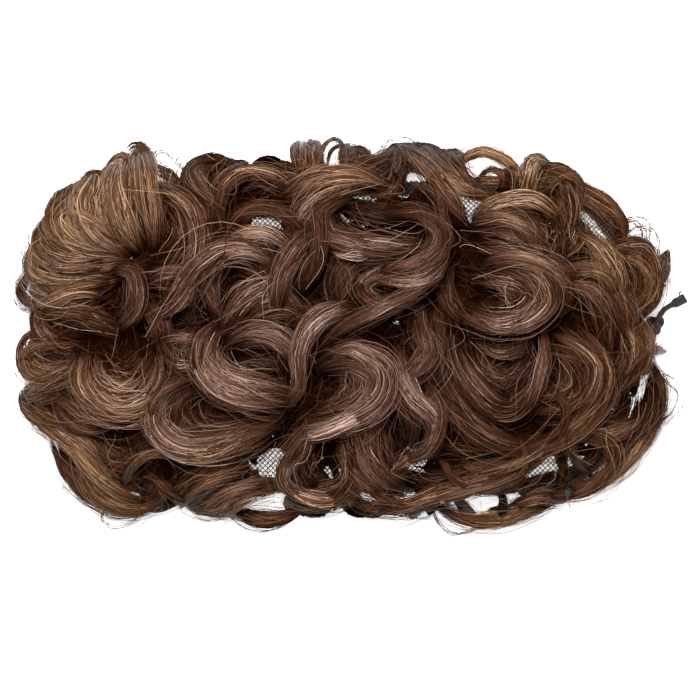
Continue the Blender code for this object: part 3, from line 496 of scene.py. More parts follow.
# A lock is its name, its width in percent of half the hair's length, its level, its tone from dark
# 0 to pale 10, and the places that it runs through in percent of the hair's half length and depth.
# The tone is partly the hair's own colour and partly painted light and shade: deep rows with low
# tones paint the shade of the hollows, and pale top rows paint highlights on the crests.
LOCKS = [
    ("fan_right", 9, 2, 9, [(-57, 43), (-58, 60), (-60, 80), (-63, 95), (-67, 93)]),
    ("fan_middle", 9, 2, 9.5, [(-61, 42), (-66, 58), (-68, 76), (-68, 90), (-73, 85)]),
    ("fan_left", 11, 2, 8.5, [(-64, 41), (-73, 52), (-77, 66), (-76, 79), (-82, 74)]),
    ("fan_outer", 10, 1, 8, [(-66, 40), (-80, 46), (-87, 57), (-84, 71), (-88, 64)]),
    ("left_cheek_upper", 10, 2, 7, [(-64, 37), (-80, 37), (-91, 46), (-90, 62)]),
    ("left_cheek_lower", 9, 2, 7, [(-68, 29), (-84, 25), (-95, 34), (-94, 50)]),
    ("left_bulge", 7, 1, 5, [(-72, 20), (-87, 17), (-97, 21), (-95, 34)]),
    ("hollow_hook", 6, 3, 7, [(-70, 33), (-63, 30), (-62, 15), (-67, 3)]),
    ("hollow_ring", 7, 3, 6, [(-61, 75), (-46, 66), (-42, 46), (-47, 24), (-55, 9)]),
    ("hollow_inner", 6, 1, 3, [(-60, 35), (-51, 35), (-47, 46), (-53, 62)]),
    ("hollow_under", 7, 1, 3, [(-62, 26), (-53, 28), (-46, 22), (-50, 10)]),
    ("hollow_strip", 3, 0, 5, [(-60, 87), (-53, 82), (-49, 74), (-47, 66)]),
    ("dome_curl", 9, 2, 4, [(-37, 44), (-42, 62), (-46, 79), (-40, 88), (-31, 84)]),
    ("arch_outer", 5, 2, 6, [(-36, 47), (-38, 68), (-31, 81), (-21, 80), (-14, 71)]),
    ("arch_middle", 4, 2, 5, [(-36, 46), (-32, 58), (-23, 62.5), (-14, 56), (-9, 44)]),
    ("arch_inner", 5, 2, 4, [(-38, 43), (-29, 50), (-20, 50), (-13, 44)]),
    ("ring_outer", 8, 3, 6, [(-53, 7), (-45, 28), (-36, 41), (-26, 40), (-20, 28)]),
    ("ring_inner", 6, 1, 3, [(-29, 38), (-37, 31), (-38, 18), (-35, 6)]),
    ("ring_floor", 7, 2, 6, [(-37, 0), (-30, 16), (-21, 25), (-11, 27)]),
    ("ring_core", 7, 0, 2, [(-36, 24), (-30, 32), (-24, 26), (-27, 16)]),
    ("small_top_curl", 4, 0, 3, [(-23, 79), (-18, 84), (-12, 81), (-10, 72)]),
    ("brow", 6, 3, 7, [(-19, 69), (-8, 78), (4, 80), (15, 74)]),
    ("brow_return", 8, 2, 6, [(8, 77), (-4, 71), (-12, 59), (-16, 45)]),
    ("brow_side", 6, 3, 6, [(-21, 11), (-18, 30), (-13, 44), (-4, 53)]),
    ("eye_left", 5, 3, 5, [(3, 70), (-6, 61), (-7, 48), (-8, 34), (-13, 20)]),
    ("eye_lid", 6.5, 3, 6, [(0, 69), (-5.5, 61), (-4.5, 51), (3, 45), (14, 43), (25, 46)]),
    ("eye_right", 6, 3, 6, [(12, 60), (22, 61), (29, 51), (27, 40), (18, 33), (8, 31)]),
    ("eye_under", 8, 2, 4, [(-4, 42), (6, 40), (16, 41), (24, 38)]),
    ("eye_socket", 8, 0, 1, [(-4, 66), (6, 60), (16, 58), (26, 56)]),
    ("nose_left", 8, 2, 4, [(10, 42), (1, 35), (-2, 22), (3, 10)]),
    ("nose_swirl", 6, 2, 5, [(22, 30), (12, 31), (6, 24), (11, 16), (20, 18)]),
    ("diagonal", 5.5, 3, 6, [(31, 40), (25, 25), (12, 14), (0, 4), (-8, -8)]),
    ("diagonal_left", 6, 3, 7, [(5, 14), (-7, 10), (-13, -6), (-13, -24), (-18, -36)]),
    ("crossing", 8, 1, 5, [(-34, 6), (-26, 13), (-18, 11), (-12, 2)]),
    ("bridge_low", 8, 0, 4, [(-14, 24), (-10, 12), (-5, 4), (6, 2)]),
    ("lower_arch", 6, 2, 6, [(-36, -9), (-31, 0), (-22, 0), (-15, -8), (-14, -20)]),
    ("lower_band", 12, 3, 8, [(-37, 6), (-41, -8), (-36, -21), (-26, -27), (-15, -30)]),
    ("lower_pupil", 8, 0, 2, [(-33, -8), (-26, -12), (-20, -12), (-17, -20)]),
    ("great_ring", 8, 3, 7, [(-42, -19), (-53, -27), (-56, -42), (-48, -54), (-34, -52), (-19, -42)]),
    ("great_ring_mid", 7, 2, 5, [(-41, -25), (-49, -33), (-48, -45), (-39, -50), (-27, -45), (-16, -36)]),
    ("great_ring_inner", 6, 1, 3, [(-40, -28), (-43, -38), (-36, -44), (-27, -41), (-17, -35)]),
    ("bowl", 11, 3, 8, [(-77, -6), (-76, -22), (-67, -32), (-58, -26), (-54, -8)]),
    ("bowl_inner", 8, 1, 3, [(-73, -8), (-70, -17), (-64, -19), (-59, -12), (-58, 2)]),
    ("bowl_rim", 5, 2, 5, [(-55, -10), (-54, 2), (-57, 12), (-62, 18)]),
    ("left_loop", 8, 2, 7, [(-89, 4), (-96, -5), (-95, -17), (-86, -18), (-77, -8)]),
    ("left_loop_inner", 7, 1, 3, [(-91, -3), (-86, -6), (-81, -6), (-76, -4)]),
    ("left_feather", 7, 2, 6, [(-77, -9), (-82, -17), (-90, -24), (-98, -29)]),
    ("left_cross", 8, 1, 4, [(-94, 14), (-86, 14), (-76, 8), (-66, 0)]),
    ("left_curl", 6, 2, 5, [(-87, 18), (-93, 11), (-91, 1), (-84, -3)]),
    ("side_bars", 8, 1, 4, [(-56, 0), (-51, -3), (-46, -4), (-41, -2)]),
    ("side_hook", 5, 2, 4, [(-55, 6), (-53, -8), (-47, -15), (-40, -18)]),
    ("side_fill", 8, 0, 2, [(-56, 18), (-50, 14), (-44, 12), (-38, 14)]),
    ("corner_sweep", 8, 2, 7, [(-97, -32), (-90, -44), (-79, -55), (-70, -70), (-59, -80)]),
    ("corner_outer", 7, 1, 4, [(-89, -50), (-84, -67), (-77, -79), (-68, -86), (-57, -83)]),
    ("corner_gold", 6, 2, 9, [(-80, -46), (-79, -64), (-74, -79), (-64, -86), (-54, -82)]),
    ("corner_grey", 5, 2, 5, [(-89, -28), (-82, -35), (-73, -40), (-63, -38)]),
    ("corner_dark", 8, 1, 3, [(-74, -40), (-75, -51), (-69, -62), (-60, -68)]),
    ("corner_left", 6, 1, 6, [(-96, -24), (-93, -36), (-84, -44), (-76, -44)]),
    ("corner_fill", 9, 0, 2, [(-66, -44), (-62, -54), (-58, -66), (-56, -76)]),
    ("corner_wisp", 3, 3, 5, [(-68, -76), (-63, -63), (-55, -57), (-46, -60)]),
    ("hem_wave_upper", 9, 2, 5, [(-52, -82), (-44, -72), (-35, -67), (-27, -68)]),
    ("hem_wave_lower", 8, 2, 7, [(-48, -83), (-38, -82), (-30, -76), (-19, -73)]),
    ("hem_scoop", 5, 1, 4, [(-35, -86), (-26, -91), (-17, -89), (-11, -83)]),
    ("hem_dark", 8, 0, 2, [(-46, -60), (-38, -60), (-30, -58), (-22, -54)]),
    ("jug_left", 6, 3, 6, [(-7, -38), (-14, -55), (-18, -70), (-11, -80), (0, -78)]),
    ("jug_right", 7, 2, 5, [(-1, -50), (2, -62), (0, -74), (-8, -81), (-17, -79)]),
    ("jug_fill", 8, 1, 3, [(-8, -48), (-11, -57), (-10, -66), (-4, -72)]),
    ("disc_outer", 9, 3, 8, [(-9, -15), (2, -9), (11, -16), (10, -30), (0, -41), (-15, -45)]),
    ("disc_inner", 9, 2, 5, [(-5, -18), (3, -17), (5, -27), (0, -35), (-9, -38)]),
    ("trunk_left", 8, 2, 5, [(4, -38), (5, -52), (9, -66), (16, -75)]),
    ("trunk_middle", 8, 2, 5, [(11, -38), (11, -52), (12, -62), (20, -70)]),
    ("trunk_foot", 6, 2, 6, [(-1, -50), (3, -63), (9, -74), (19, -80)]),
    ("cascade", 7, 3, 8, [(16, -4), (17, -15), (20, -29), (27, -42), (25, -60)]),
    ("cascade_left", 5, 2, 6, [(14, -18), (17, -30), (21, -43), (20, -56)]),
    ("throat", 6, 3, 6, [(23, 17), (23, 3), (25, -8), (19, -19), (12, -27)]),
    ("throat_right", 6, 2, 5, [(29, 16), (28, 0), (28, -14), (24, -28)]),
    ("foot_gold", 5.5, 3, 6, [(6, -88), (18, -85), (30, -77), (44, -71), (56, -62), (66, -49)]),
    ("foot_left", 7, 1, 5, [(2, -80), (10, -84), (20, -84), (30, -82)]),
    ("foot_lower", 4.5, 2, 7, [(27, -83), (36, -90), (46, -91), (56, -87), (66, -83)]),
    ("foot_dark", 7, 1, 3, [(20, -66), (30, -71), (42, -66), (52, -58)]),
    ("foot_hook", 3, 1, 1, [(45, -74), (48, -79), (48, -86), (43, -89)]),
    ("foot_bridge", 4, 1, 6, [(49, -86), (54, -82), (60, -80), (68, -82)]),
    ("foot_cover", 3.4, 0, 4, [(33, -74), (43, -74.5), (54, -73), (66, -67)]),
    ("foot_fill", 8, 0, 2, [(24, -56), (32, -54), (42, -56), (52, -60)]),
    ("deep_bowl", 10, 2, 4, [(32, 6), (33, -14), (41, -31), (50, -35), (57, -20), (62, -2)]),
    ("deep_bowl_outer", 8, 2, 5, [(31, -12), (35, -34), (44, -49), (54, -55), (64, -50)]),
    ("deep_bowl_fill", 9, 1, 3, [(38, 2), (40, -12), (47, -20), (54, -12), (56, 2)]),
    ("dish", 8, 3, 7, [(33, 14), (42, 5), (54, 6), (61, 18), (56, 31), (42, 37)]),
    ("dish_inner", 8, 2, 4, [(37, 30), (48, 28), (55, 20), (49, 12), (38, 14)]),
    ("dish_top", 7, 2, 6, [(40, 43), (51, 40), (61, 33), (66, 20), (63, 8)]),
    ("dish_side", 6, 1, 4, [(33, 36), (31, 26), (33, 14), (39, 6)]),
    ("knot_arch", 6, 3, 7, [(38, 56), (46, 65), (57, 67), (66, 57)]),
    ("knot_wave", 9, 2, 5, [(38, 53), (47, 56), (56, 48), (64, 37)]),
    ("knot_low", 8, 1, 3, [(38, 48), (46, 48), (54, 42), (62, 34)]),
    ("knot_drop", 5, 1, 4, [(65, 62), (66, 53), (65, 43), (64, 35)]),
    ("peak_left", 6, 3, 6, [(16, 97), (24, 86), (30, 71), (37, 56)]),
    ("peak_right", 6, 2, 6, [(24, 96), (28, 84), (36, 73), (47, 67)]),
    ("peak_back", 6, 1, 4, [(16, 95), (11, 88), (4, 83), (-3, 80)]),
    ("peak_inner", 6, 1, 4, [(19, 92), (17, 82), (14, 72), (8, 68)]),
    ("peak_low", 5, 1, 4, [(26, 77), (30, 68), (34, 60), (37, 52)]),
    ("blunt_left", 5, 1, 6, [(-12, 78), (-12.5, 86), (-13, 93), (-12.5, 100)]),
    ("blunt_left_inner", 5, 1, 6, [(-8, 78), (-9, 86), (-9, 93), (-8, 100)]),
    ("blunt_middle", 5, 1, 5, [(0, 78), (1, 85), (1.5, 91), (3, 98)]),
    ("blunt_middle_back", 4, 0, 3, [(1, 93), (5, 94), (7, 89), (7, 82)]),
    ("blunt_right", 7, 1, 4, [(42, 70), (35, 79), (32, 90), (37, 93)]),
    ("gold_arch", 4, 1, 9, [(33, 84), (37, 90), (43, 93), (50, 87), (54, 79), (56, 74)]),
    ("gold_arch_inner", 3, 1, 4, [(41, 80), (45, 83), (48.5, 79), (48, 71)]),
    ("top_post", 5, 2, 8, [(56, 65), (56, 77), (58, 87), (64, 86)]),
    ("top_roll", 6, 1, 5, [(58, 84), (65, 84), (71, 77), (72, 65)]),
    ("top_fall", 6, 2, 5, [(66, 82), (67, 72), (68, 60), (66, 48)]),
    ("top_fill", 7, 0, 3, [(50, 72), (56, 74), (62, 72), (68, 68)]),
    ("bridge", 4.5, 1, 7, [(66, 80), (74, 72), (80, 65), (84.5, 56), (85, 46)]),
    ("bridge_inner", 4, 0, 5, [(68, 74), (75, 67), (80, 60), (83.5, 52), (83, 43)]),
    ("gold_cover", 4, 0, 4, [(36, 74), (42, 77), (49, 76.5), (55, 72)]),
    ("gold_foot", 4, 1, 6, [(48, 84), (52, 81), (56, 80), (60, 76)]),
    ("ear_crest", 3, 1, 5, [(82, 44), (87, 48), (92, 47), (96, 40)]),
    ("fan_gold", 6, 3, 7, [(69, 53), (77, 44), (82, 30), (82.5, 12)]),
    ("fan_high", 8, 2, 6, [(64, 35), (74, 35), (81, 22), (86, 6), (84, -10)]),
    ("fan_low", 7, 2, 5, [(64, 28), (72, 26), (78, 14), (80, -2), (79, -18)]),
    ("fan_up", 6, 1, 5, [(64, 38), (69, 46), (71, 54), (68, 62)]),
    ("ear_ring", 8, 2, 6, [(80, 44), (90, 43), (94, 33), (91.5, 19), (84, 11)]),
    ("ear_tip", 5, 1, 6, [(91, 22), (95.5, 31), (98, 38), (100, 45)]),
    ("ear_inner", 6, 1, 4, [(84, 42), (90, 36), (90, 24), (85, 16)]),
    ("cheek_right", 6, 2, 8, [(87, 12), (91, 1), (90, -14), (84, -25)]),
    ("cheek_right_in", 7, 1, 5, [(80, 8), (85, -6), (83, -20), (76, -32)]),
    ("long_s", 6.5, 3, 5, [(65, 5), (75, -9), (79, -26), (72, -42), (60, -56), (45, -68)]),
    ("whorl", 7, 2, 5, [(59, -6), (69, -10), (73, -22), (66, -34), (54, -38)]),
    ("whorl_inner", 7, 0, 2, [(58, -18), (65, -20), (66, -28), (58, -32)]),
    ("outer_right", 5, 2, 8, [(92, -9), (97, -23), (96, -40), (89, -57), (79, -70), (64, -79)]),
    ("under_right", 7, 1, 4, [(90, -28), (87, -42), (79, -47), (69, -45), (62, -52)]),
    ("right_mass", 9, 0, 2, [(94, -18), (93, -34), (88, -48), (80, -58)]),
    ("handle", 4, 3, 6, [(66, -48), (76, -49), (81, -56), (80, -67), (73, -78), (60, -80)]),
    ("handle_inner", 4, 0, 3, [(64, -56), (66, -63), (66, -70), (64, -77)]),
    ("handle_fill", 6, 0, 3, [(84, -52), (86, -60), (82, -68), (74, -74)]),
    ("fan_tip", 3.5, 2, 7, [(-61, 60), (-61.5, 74), (-62, 86), (-64, 99)]),
    ("fan_gold_low", 3, 3, 10, [(-67, 47), (-73, 56), (-80, 62), (-86, 67), (-88, 62)]),
    ("fan_gold_high", 3, 3, 10, [(-66, 52), (-70, 64), (-71, 76), (-71, 85), (-76, 82)]),
    ("fan_rim", 3, 1, 2, [(-90, 58), (-87, 68), (-83, 75), (-78, 79)]),
    ("cheek_edge", 5, 2, 8, [(-90, 28), (-93.5, 36), (-93, 46), (-89.5, 56)]),
    ("cheek_bar_1", 4, 3, 7, [(-71, 37), (-79, 34), (-87, 35), (-92, 42)]),
    ("cheek_bar_2", 4, 3, 7, [(-70, 27), (-79, 26), (-88, 25), (-95, 24)]),
    ("cheek_bar_3", 4, 3, 8, [(-72, 20), (-80, 21), (-88, 17), (-96, 14)]),
    ("cheek_bar_4", 4, 2, 5, [(-73, 10), (-80, 12), (-88, 12), (-94, 8)]),
    ("ring_strip", 3, 3, 7, [(-58, 75), (-50, 70), (-44, 60), (-42, 48)]),
    ("ring_grey", 4, 2, 5, [(-54, 66), (-49, 58), (-49, 48), (-54, 40)]),
    ("ring_low", 4, 2, 6, [(-60, 27), (-53, 31), (-46, 33), (-42, 42)]),
    ("ring_foot", 3, 3, 6, [(-57, 8), (-50, 14), (-46, 22), (-43, 32)]),
    ("dome_grey", 5, 3, 5, [(-36, 64), (-42, 72), (-45, 82), (-40, 88)]),
    ("dome_right", 4, 2, 5, [(-40, 52), (-38, 66), (-36, 76), (-30, 86)]),
    ("ring_crown", 4, 3, 8, [(-41, 34), (-34, 41), (-26, 40), (-20, 33)]),
    ("ring_crest", 4, 3, 8, [(-36, 46), (-28, 50), (-21, 48), (-15, 40)]),
    ("ring_left", 4, 2, 6, [(-40, 36), (-40, 26), (-38, 16), (-34, 6)]),
    ("ring_hairs", 3, 1, 4, [(-34, 36), (-27, 32), (-24, 28), (-28, 22)]),
    ("brow_stem", 4, 3, 6, [(-20, 10), (-18, 26), (-15, 36), (-9, 47)]),
    ("brow_stem_right", 4, 2, 4, [(-14, 20), (-12, 32), (-10, 42), (-6, 54)]),
    ("pad_upper", 5, 2, 5, [(-31, 8), (-25, 18), (-17, 19), (-12, 8)]),
    ("pad_lower", 4, 2, 5, [(-30, 2), (-24, 11), (-16, 12), (-10, 4)]),
    ("pad_arch", 5, 3, 7, [(-36, -4), (-28, 2), (-20, 0), (-14, -10), (-14, -24)]),
    ("cross_left", 4, 3, 8, [(2, 17), (-7, 8), (-11, -2), (-12, -14)]),
    ("cross_right", 3.5, 3, 7, [(26, 27), (15, 17), (6, 9), (-3, 1)]),
    ("lid_shine", 4, 3, 7, [(-6, 58), (-2, 48.5), (7, 44.5), (18, 43.5), (25, 46)]),
    ("curl_shine", 4, 3, 8, [(27, 52), (25, 42), (20, 35), (10, 31)]),
    ("curl_under", 4, 3, 7, [(31, 42), (27, 31), (20, 26), (8, 28)]),
    ("curl_loop", 2.5, 3, 5, [(6, 30), (5, 22), (10, 16), (18, 17), (25, 22)]),
    ("nose_bridge", 4, 2, 6, [(-6, 40), (0, 32), (0, 22), (-3, 12)]),
    ("nose_hook", 3, 3, 7, [(-4, 44), (-1, 40), (4, 40), (10, 41)]),
    ("disc_top", 4, 3, 8, [(-4, -8), (3, -7), (9, -13), (11, -22)]),
    ("disc_gold", 4, 3, 9, [(11, -24), (7, -35), (0, -42), (-9, -47), (-16, -46)]),
    ("disc_left", 3, 2, 5, [(-2, -18), (1, -26), (-1, -36), (-6, -42)]),
    ("disc_right", 3, 2, 5, [(2, -17), (6, -25), (5, -34), (0, -40)]),
    ("jug_side", 4, 3, 6, [(-9, -40), (-14, -54), (-18, -66), (-17, -76)]),
    ("jug_inner", 4, 2, 5, [(-8, -50), (-13, -58), (-15, -68), (-10, -76)]),
    ("jug_gold", 4, 3, 9, [(-20, -70), (-14, -77), (-6, -81), (3, -79)]),
    ("jug_post", 4, 2, 6, [(-1, -46), (1, -58), (1, -70), (-3, -80)]),
    ("trunk_strip", 4, 3, 6, [(8, -40), (9, -54), (12, -66), (19, -74)]),
    ("trunk_edge", 4, 3, 6, [(4, -48), (6, -60), (10, -70), (17, -78)]),
    ("trunk_tip", 3, 2, 7, [(24, -54), (19, -60), (15, -66), (16, -73)]),
    ("cascade_shine", 4, 3, 8, [(17, -6), (18, -20), (22, -32), (23, -46)]),
    ("cascade_right", 4, 3, 7, [(24, -22), (28, -34), (28, -46), (24, -57), (16, -62)]),
    ("throat_left", 4, 3, 7, [(22, 10), (24, 0), (24, -10), (17, -19)]),
    ("band_shine", 5, 3, 8, [(-40, -6), (-37, -16), (-29, -22), (-20, -24)]),
    ("band_low", 5, 3, 7, [(-42, -12), (-38, -24), (-30, -31), (-18, -33)]),
    ("band_edge", 3, 3, 6, [(-37, 8), (-42, 0), (-43, -12), (-40, -24)]),
    ("great_gold", 4, 3, 8, [(-54, -52), (-44, -57), (-34, -53), (-24, -45)]),
    ("great_edge", 3, 3, 7, [(-44, -20), (-53, -26), (-57, -38), (-55, -50)]),
    ("great_strip", 3, 2, 5, [(-43, -24), (-49, -32), (-50, -44), (-45, -52)]),
    ("great_grey", 3, 2, 4, [(-45, -26), (-46, -36), (-42, -46), (-34, -50)]),
    ("bowl_edge", 4, 3, 8, [(-78, -8), (-79, -22), (-73, -33), (-64, -36)]),
    ("bowl_strip", 3, 3, 7, [(-74, -8), (-72, -20), (-66, -26), (-58, -24)]),
    ("bowl_right", 3, 3, 6, [(-62, -35), (-57, -28), (-54, -18), (-55, -6)]),
    ("loop_edge", 4, 3, 7, [(-84, -4), (-93, -5), (-97, -12), (-92, -20), (-82, -17)]),
    ("side_upper", 3, 2, 5, [(-56, -4), (-50, -1), (-44, -2), (-40, -6)]),
    ("side_lower", 3, 2, 5, [(-55, -10), (-50, -14), (-44, -14), (-40, -20)]),
    ("corner_strip", 4, 3, 8, [(-90, -46), (-82, -55), (-76, -66), (-69, -76), (-60, -83)]),
    ("corner_edge", 4, 2, 7, [(-86, -60), (-82, -72), (-76, -82), (-68, -88)]),
    ("corner_feather", 3, 3, 5, [(-60, -66), (-55, -73), (-50, -80), (-46, -84)]),
    ("corner_bar", 3, 2, 5, [(-88, -30), (-84, -40), (-78, -46), (-70, -48)]),
    ("hem_strip_1", 4, 3, 6, [(-50, -86), (-44, -76), (-36, -69), (-28, -67)]),
    ("hem_strip_2", 4, 3, 7, [(-44, -88), (-38, -80), (-30, -74), (-22, -72)]),
    ("hem_strip_3", 4, 2, 7, [(-38, -90), (-33, -84), (-27, -78), (-20, -76)]),
    ("deep_edge", 4, 3, 6, [(31, 4), (32, -12), (37, -28), (45, -40), (52, -42)]),
    ("deep_strip", 4, 3, 6, [(34, -4), (38, -18), (45, -30), (52, -34)]),
    ("deep_right", 4, 3, 7, [(54, -38), (58, -24), (60, -8), (60, 4)]),
    ("deep_low", 4, 2, 5, [(30, -20), (33, -36), (40, -48), (50, -52)]),
    ("deep_high", 3, 2, 5, [(38, -2), (46, -8), (52, -6), (57, 2)]),
    ("whorl_edge", 4, 3, 6, [(62, 2), (70, -4), (76, -14), (75, -28), (68, -40)]),
    ("whorl_grey", 4, 2, 5, [(63, -8), (67, -14), (67, -24), (61, -29), (54, -27)]),
    ("long_shine", 3, 3, 7, [(70, 6), (77, -6), (80, -20), (76, -36), (68, -48)]),
    ("long_foot", 3, 3, 6, [(66, -48), (57, -58), (46, -66), (34, -70)]),
    ("under_band", 4, 2, 7, [(68, -44), (76, -49), (84, -47), (91, -40)]),
    ("cheek_strip_1", 4, 3, 8, [(84, 8), (88, -2), (88, -12), (84, -22)]),
    ("cheek_strip_2", 4, 3, 8, [(89, 9), (91.5, -2), (91, -12), (88, -20)]),
    ("outer_edge", 3, 3, 9, [(97, -34), (93, -50), (87, -62), (78, -74), (68, -82)]),
    ("outer_strip", 3, 2, 6, [(89, -50), (85, -60), (79, -73), (70, -79)]),
    ("foot_shine", 3, 3, 6, [(8, -88), (18, -84), (27, -78), (37, -73)]),
    ("foot_bar", 4, 2, 5, [(34, -62), (42, -66), (50, -64), (57, -58)]),
    ("foot_rim", 4, 2, 7, [(28, -82), (34, -89), (42, -92), (52, -89), (60, -84)]),
    ("dish_edge", 4, 3, 7, [(41, 35), (50, 38), (60, 33), (66, 24), (64, 12)]),
    ("dish_foot", 4, 3, 7, [(37, 14), (45, 5), (54, 8), (59, 18)]),
    ("dish_strip", 4, 2, 6, [(40, 27), (48, 26), (54, 22), (57, 14)]),
    ("wave_high", 4, 3, 7, [(38, 56), (47, 58), (55, 52), (61, 42)]),
    ("wave_low", 3, 2, 5, [(40, 50), (48, 50), (55, 44), (60, 36)]),
    ("arch_shine", 4, 3, 8, [(38, 58), (46, 66), (55, 67.5), (64, 62)]),
    ("arch_drop_1", 3, 2, 6, [(56, 62), (59, 52), (59, 44), (62, 36)]),
    ("arch_drop_2", 3, 2, 5, [(62, 60), (65, 50), (65, 42), (66, 34)]),
    ("fan_bar_1", 4, 3, 7, [(66, 31), (74, 33), (80, 27), (84, 14)]),
    ("fan_bar_2", 4, 3, 8, [(72, 50), (78, 42), (82, 31), (82, 18)]),
    ("fan_bar_3", 4, 3, 6, [(65, 26), (74, 24), (80, 12), (83, -2)]),
    ("ear_strip", 3, 3, 7, [(83, 40), (90, 36), (93, 26), (90, 14)]),
    ("ear_edge", 3, 3, 7, [(86, 44), (93, 42), (96, 32), (95, 20), (90, 8)]),
    ("top_strip_1", 3, 2, 7, [(54, 66), (55, 74), (57, 82), (62, 87)]),
    ("top_strip_2", 3, 2, 6, [(60, 70), (66, 78), (70, 76), (73, 68)]),
    ("top_strip_3", 3, 2, 5, [(68, 78), (70, 68), (70, 58), (72, 52)]),
    ("peak_strip_1", 3, 3, 7, [(18, 96), (25, 84), (32, 74), (42, 68)]),
    ("peak_strip_2", 3, 3, 7, [(17, 96), (24, 84), (30, 71), (36, 58)]),
    ("peak_strip_3", 3, 3, 6, [(26, 78), (29, 66), (30, 54), (34, 44)]),
    ("arch_upper", 4, 0, 5, [(-32, 72), (-25, 77), (-17, 76), (-10, 70)]),
    ("left_fan_1", 5, 1, 5, [(-80, -16), (-88, -22), (-95, -27), (-100, -31)]),
    ("left_fan_2", 5, 1, 4, [(-82, -27), (-88, -29), (-94, -30), (-99, -29)]),
    ("left_fan_3", 5, 1, 6, [(-99, -26), (-97, -35), (-92, -43), (-86, -48)]),
    ("left_curl_fill", 6, 0, 3, [(-94, 8), (-89, 9), (-84, 6), (-80, 2)]),
    ("thin_loop_outer", 1.3, 0, 4, [(-6, 80), (-6.4, 93), (-3.5, 100), (-0.7, 97.5), (0.5, 88)]),
    ("thin_loop_inner", 1, 0, 4, [(-5, 82), (-4.2, 91), (-1.8, 95.5), (0.8, 94), (2, 86)]),
    ("blunt_left_mid", 4, 1, 7, [(-10.2, 78), (-10.5, 86), (-10.6, 94), (-10.2, 101)]),
    ("peak_fill", 5, 0, 4, [(17, 92), (13, 88), (8, 83), (2, 79)]),
    ("handle_low", 3.5, 0, 3, [(64, -70), (70, -66), (76, -59), (80, -50)]),
    ("foot_cross_1", 3, 3, 5, [(28, -58), (33, -70), (41, -75), (52, -73)]),
    ("foot_cross_2", 2.5, 3, 5, [(52, -48), (55, -60), (51, -71), (43, -78)]),
    ("foot_cross_3", 3, 3, 4, [(72, -34), (67, -48), (69, -60), (76, -70)]),
    ("foot_cross_4", 2.5, 3, 5, [(4, -70), (12, -80), (22, -84), (34, -84)]),
    ("cradle_cross", 3, 3, 4, [(60, -22), (66, -34), (64, -48), (56, -58)]),
]
ZONES = [
    ("curls_far_left", -101, -62),
    ("curls_left", -62, -24),
    ("curls_middle", -24, 14),
    ("curls_right", 14, 52),
    ("curls_far_right", 52, 110),
]


def spread(places):
    """Places on the table from percent of the hair's half length and half depth."""
    return np.asarray(places, float) / 100 * (hair_half.x, hair_half.y)


def mound_height(x, y):
    """The hair's outer height over places on the table."""
    rim = np.abs(x / hair_half.x) ** PLAN_POWER + np.abs(y / hair_half.y) ** PLAN_POWER
    rim = rim ** (1 / PLAN_POWER)
    return 2 * hair_half.z * (1 - np.minimum(rim, 1) ** SIDE_POWER) ** (1 / SIDE_POWER)


def spaced_by_turns(line, ahead, steps):
    """Shares of a line that lie closer together where it bends."""
    lengths = np.linalg.norm(np.diff(line, axis=0), axis=1)
    turns = np.linalg.norm(np.diff(ahead, axis=0), axis=1)
    passed = np.append(0, np.cumsum(lengths / lengths.sum() + turns / max(turns.sum(), 1)))
    return np.interp(np.linspace(0, 1, steps), passed / passed[-1], np.linspace(0, 1, len(line)))


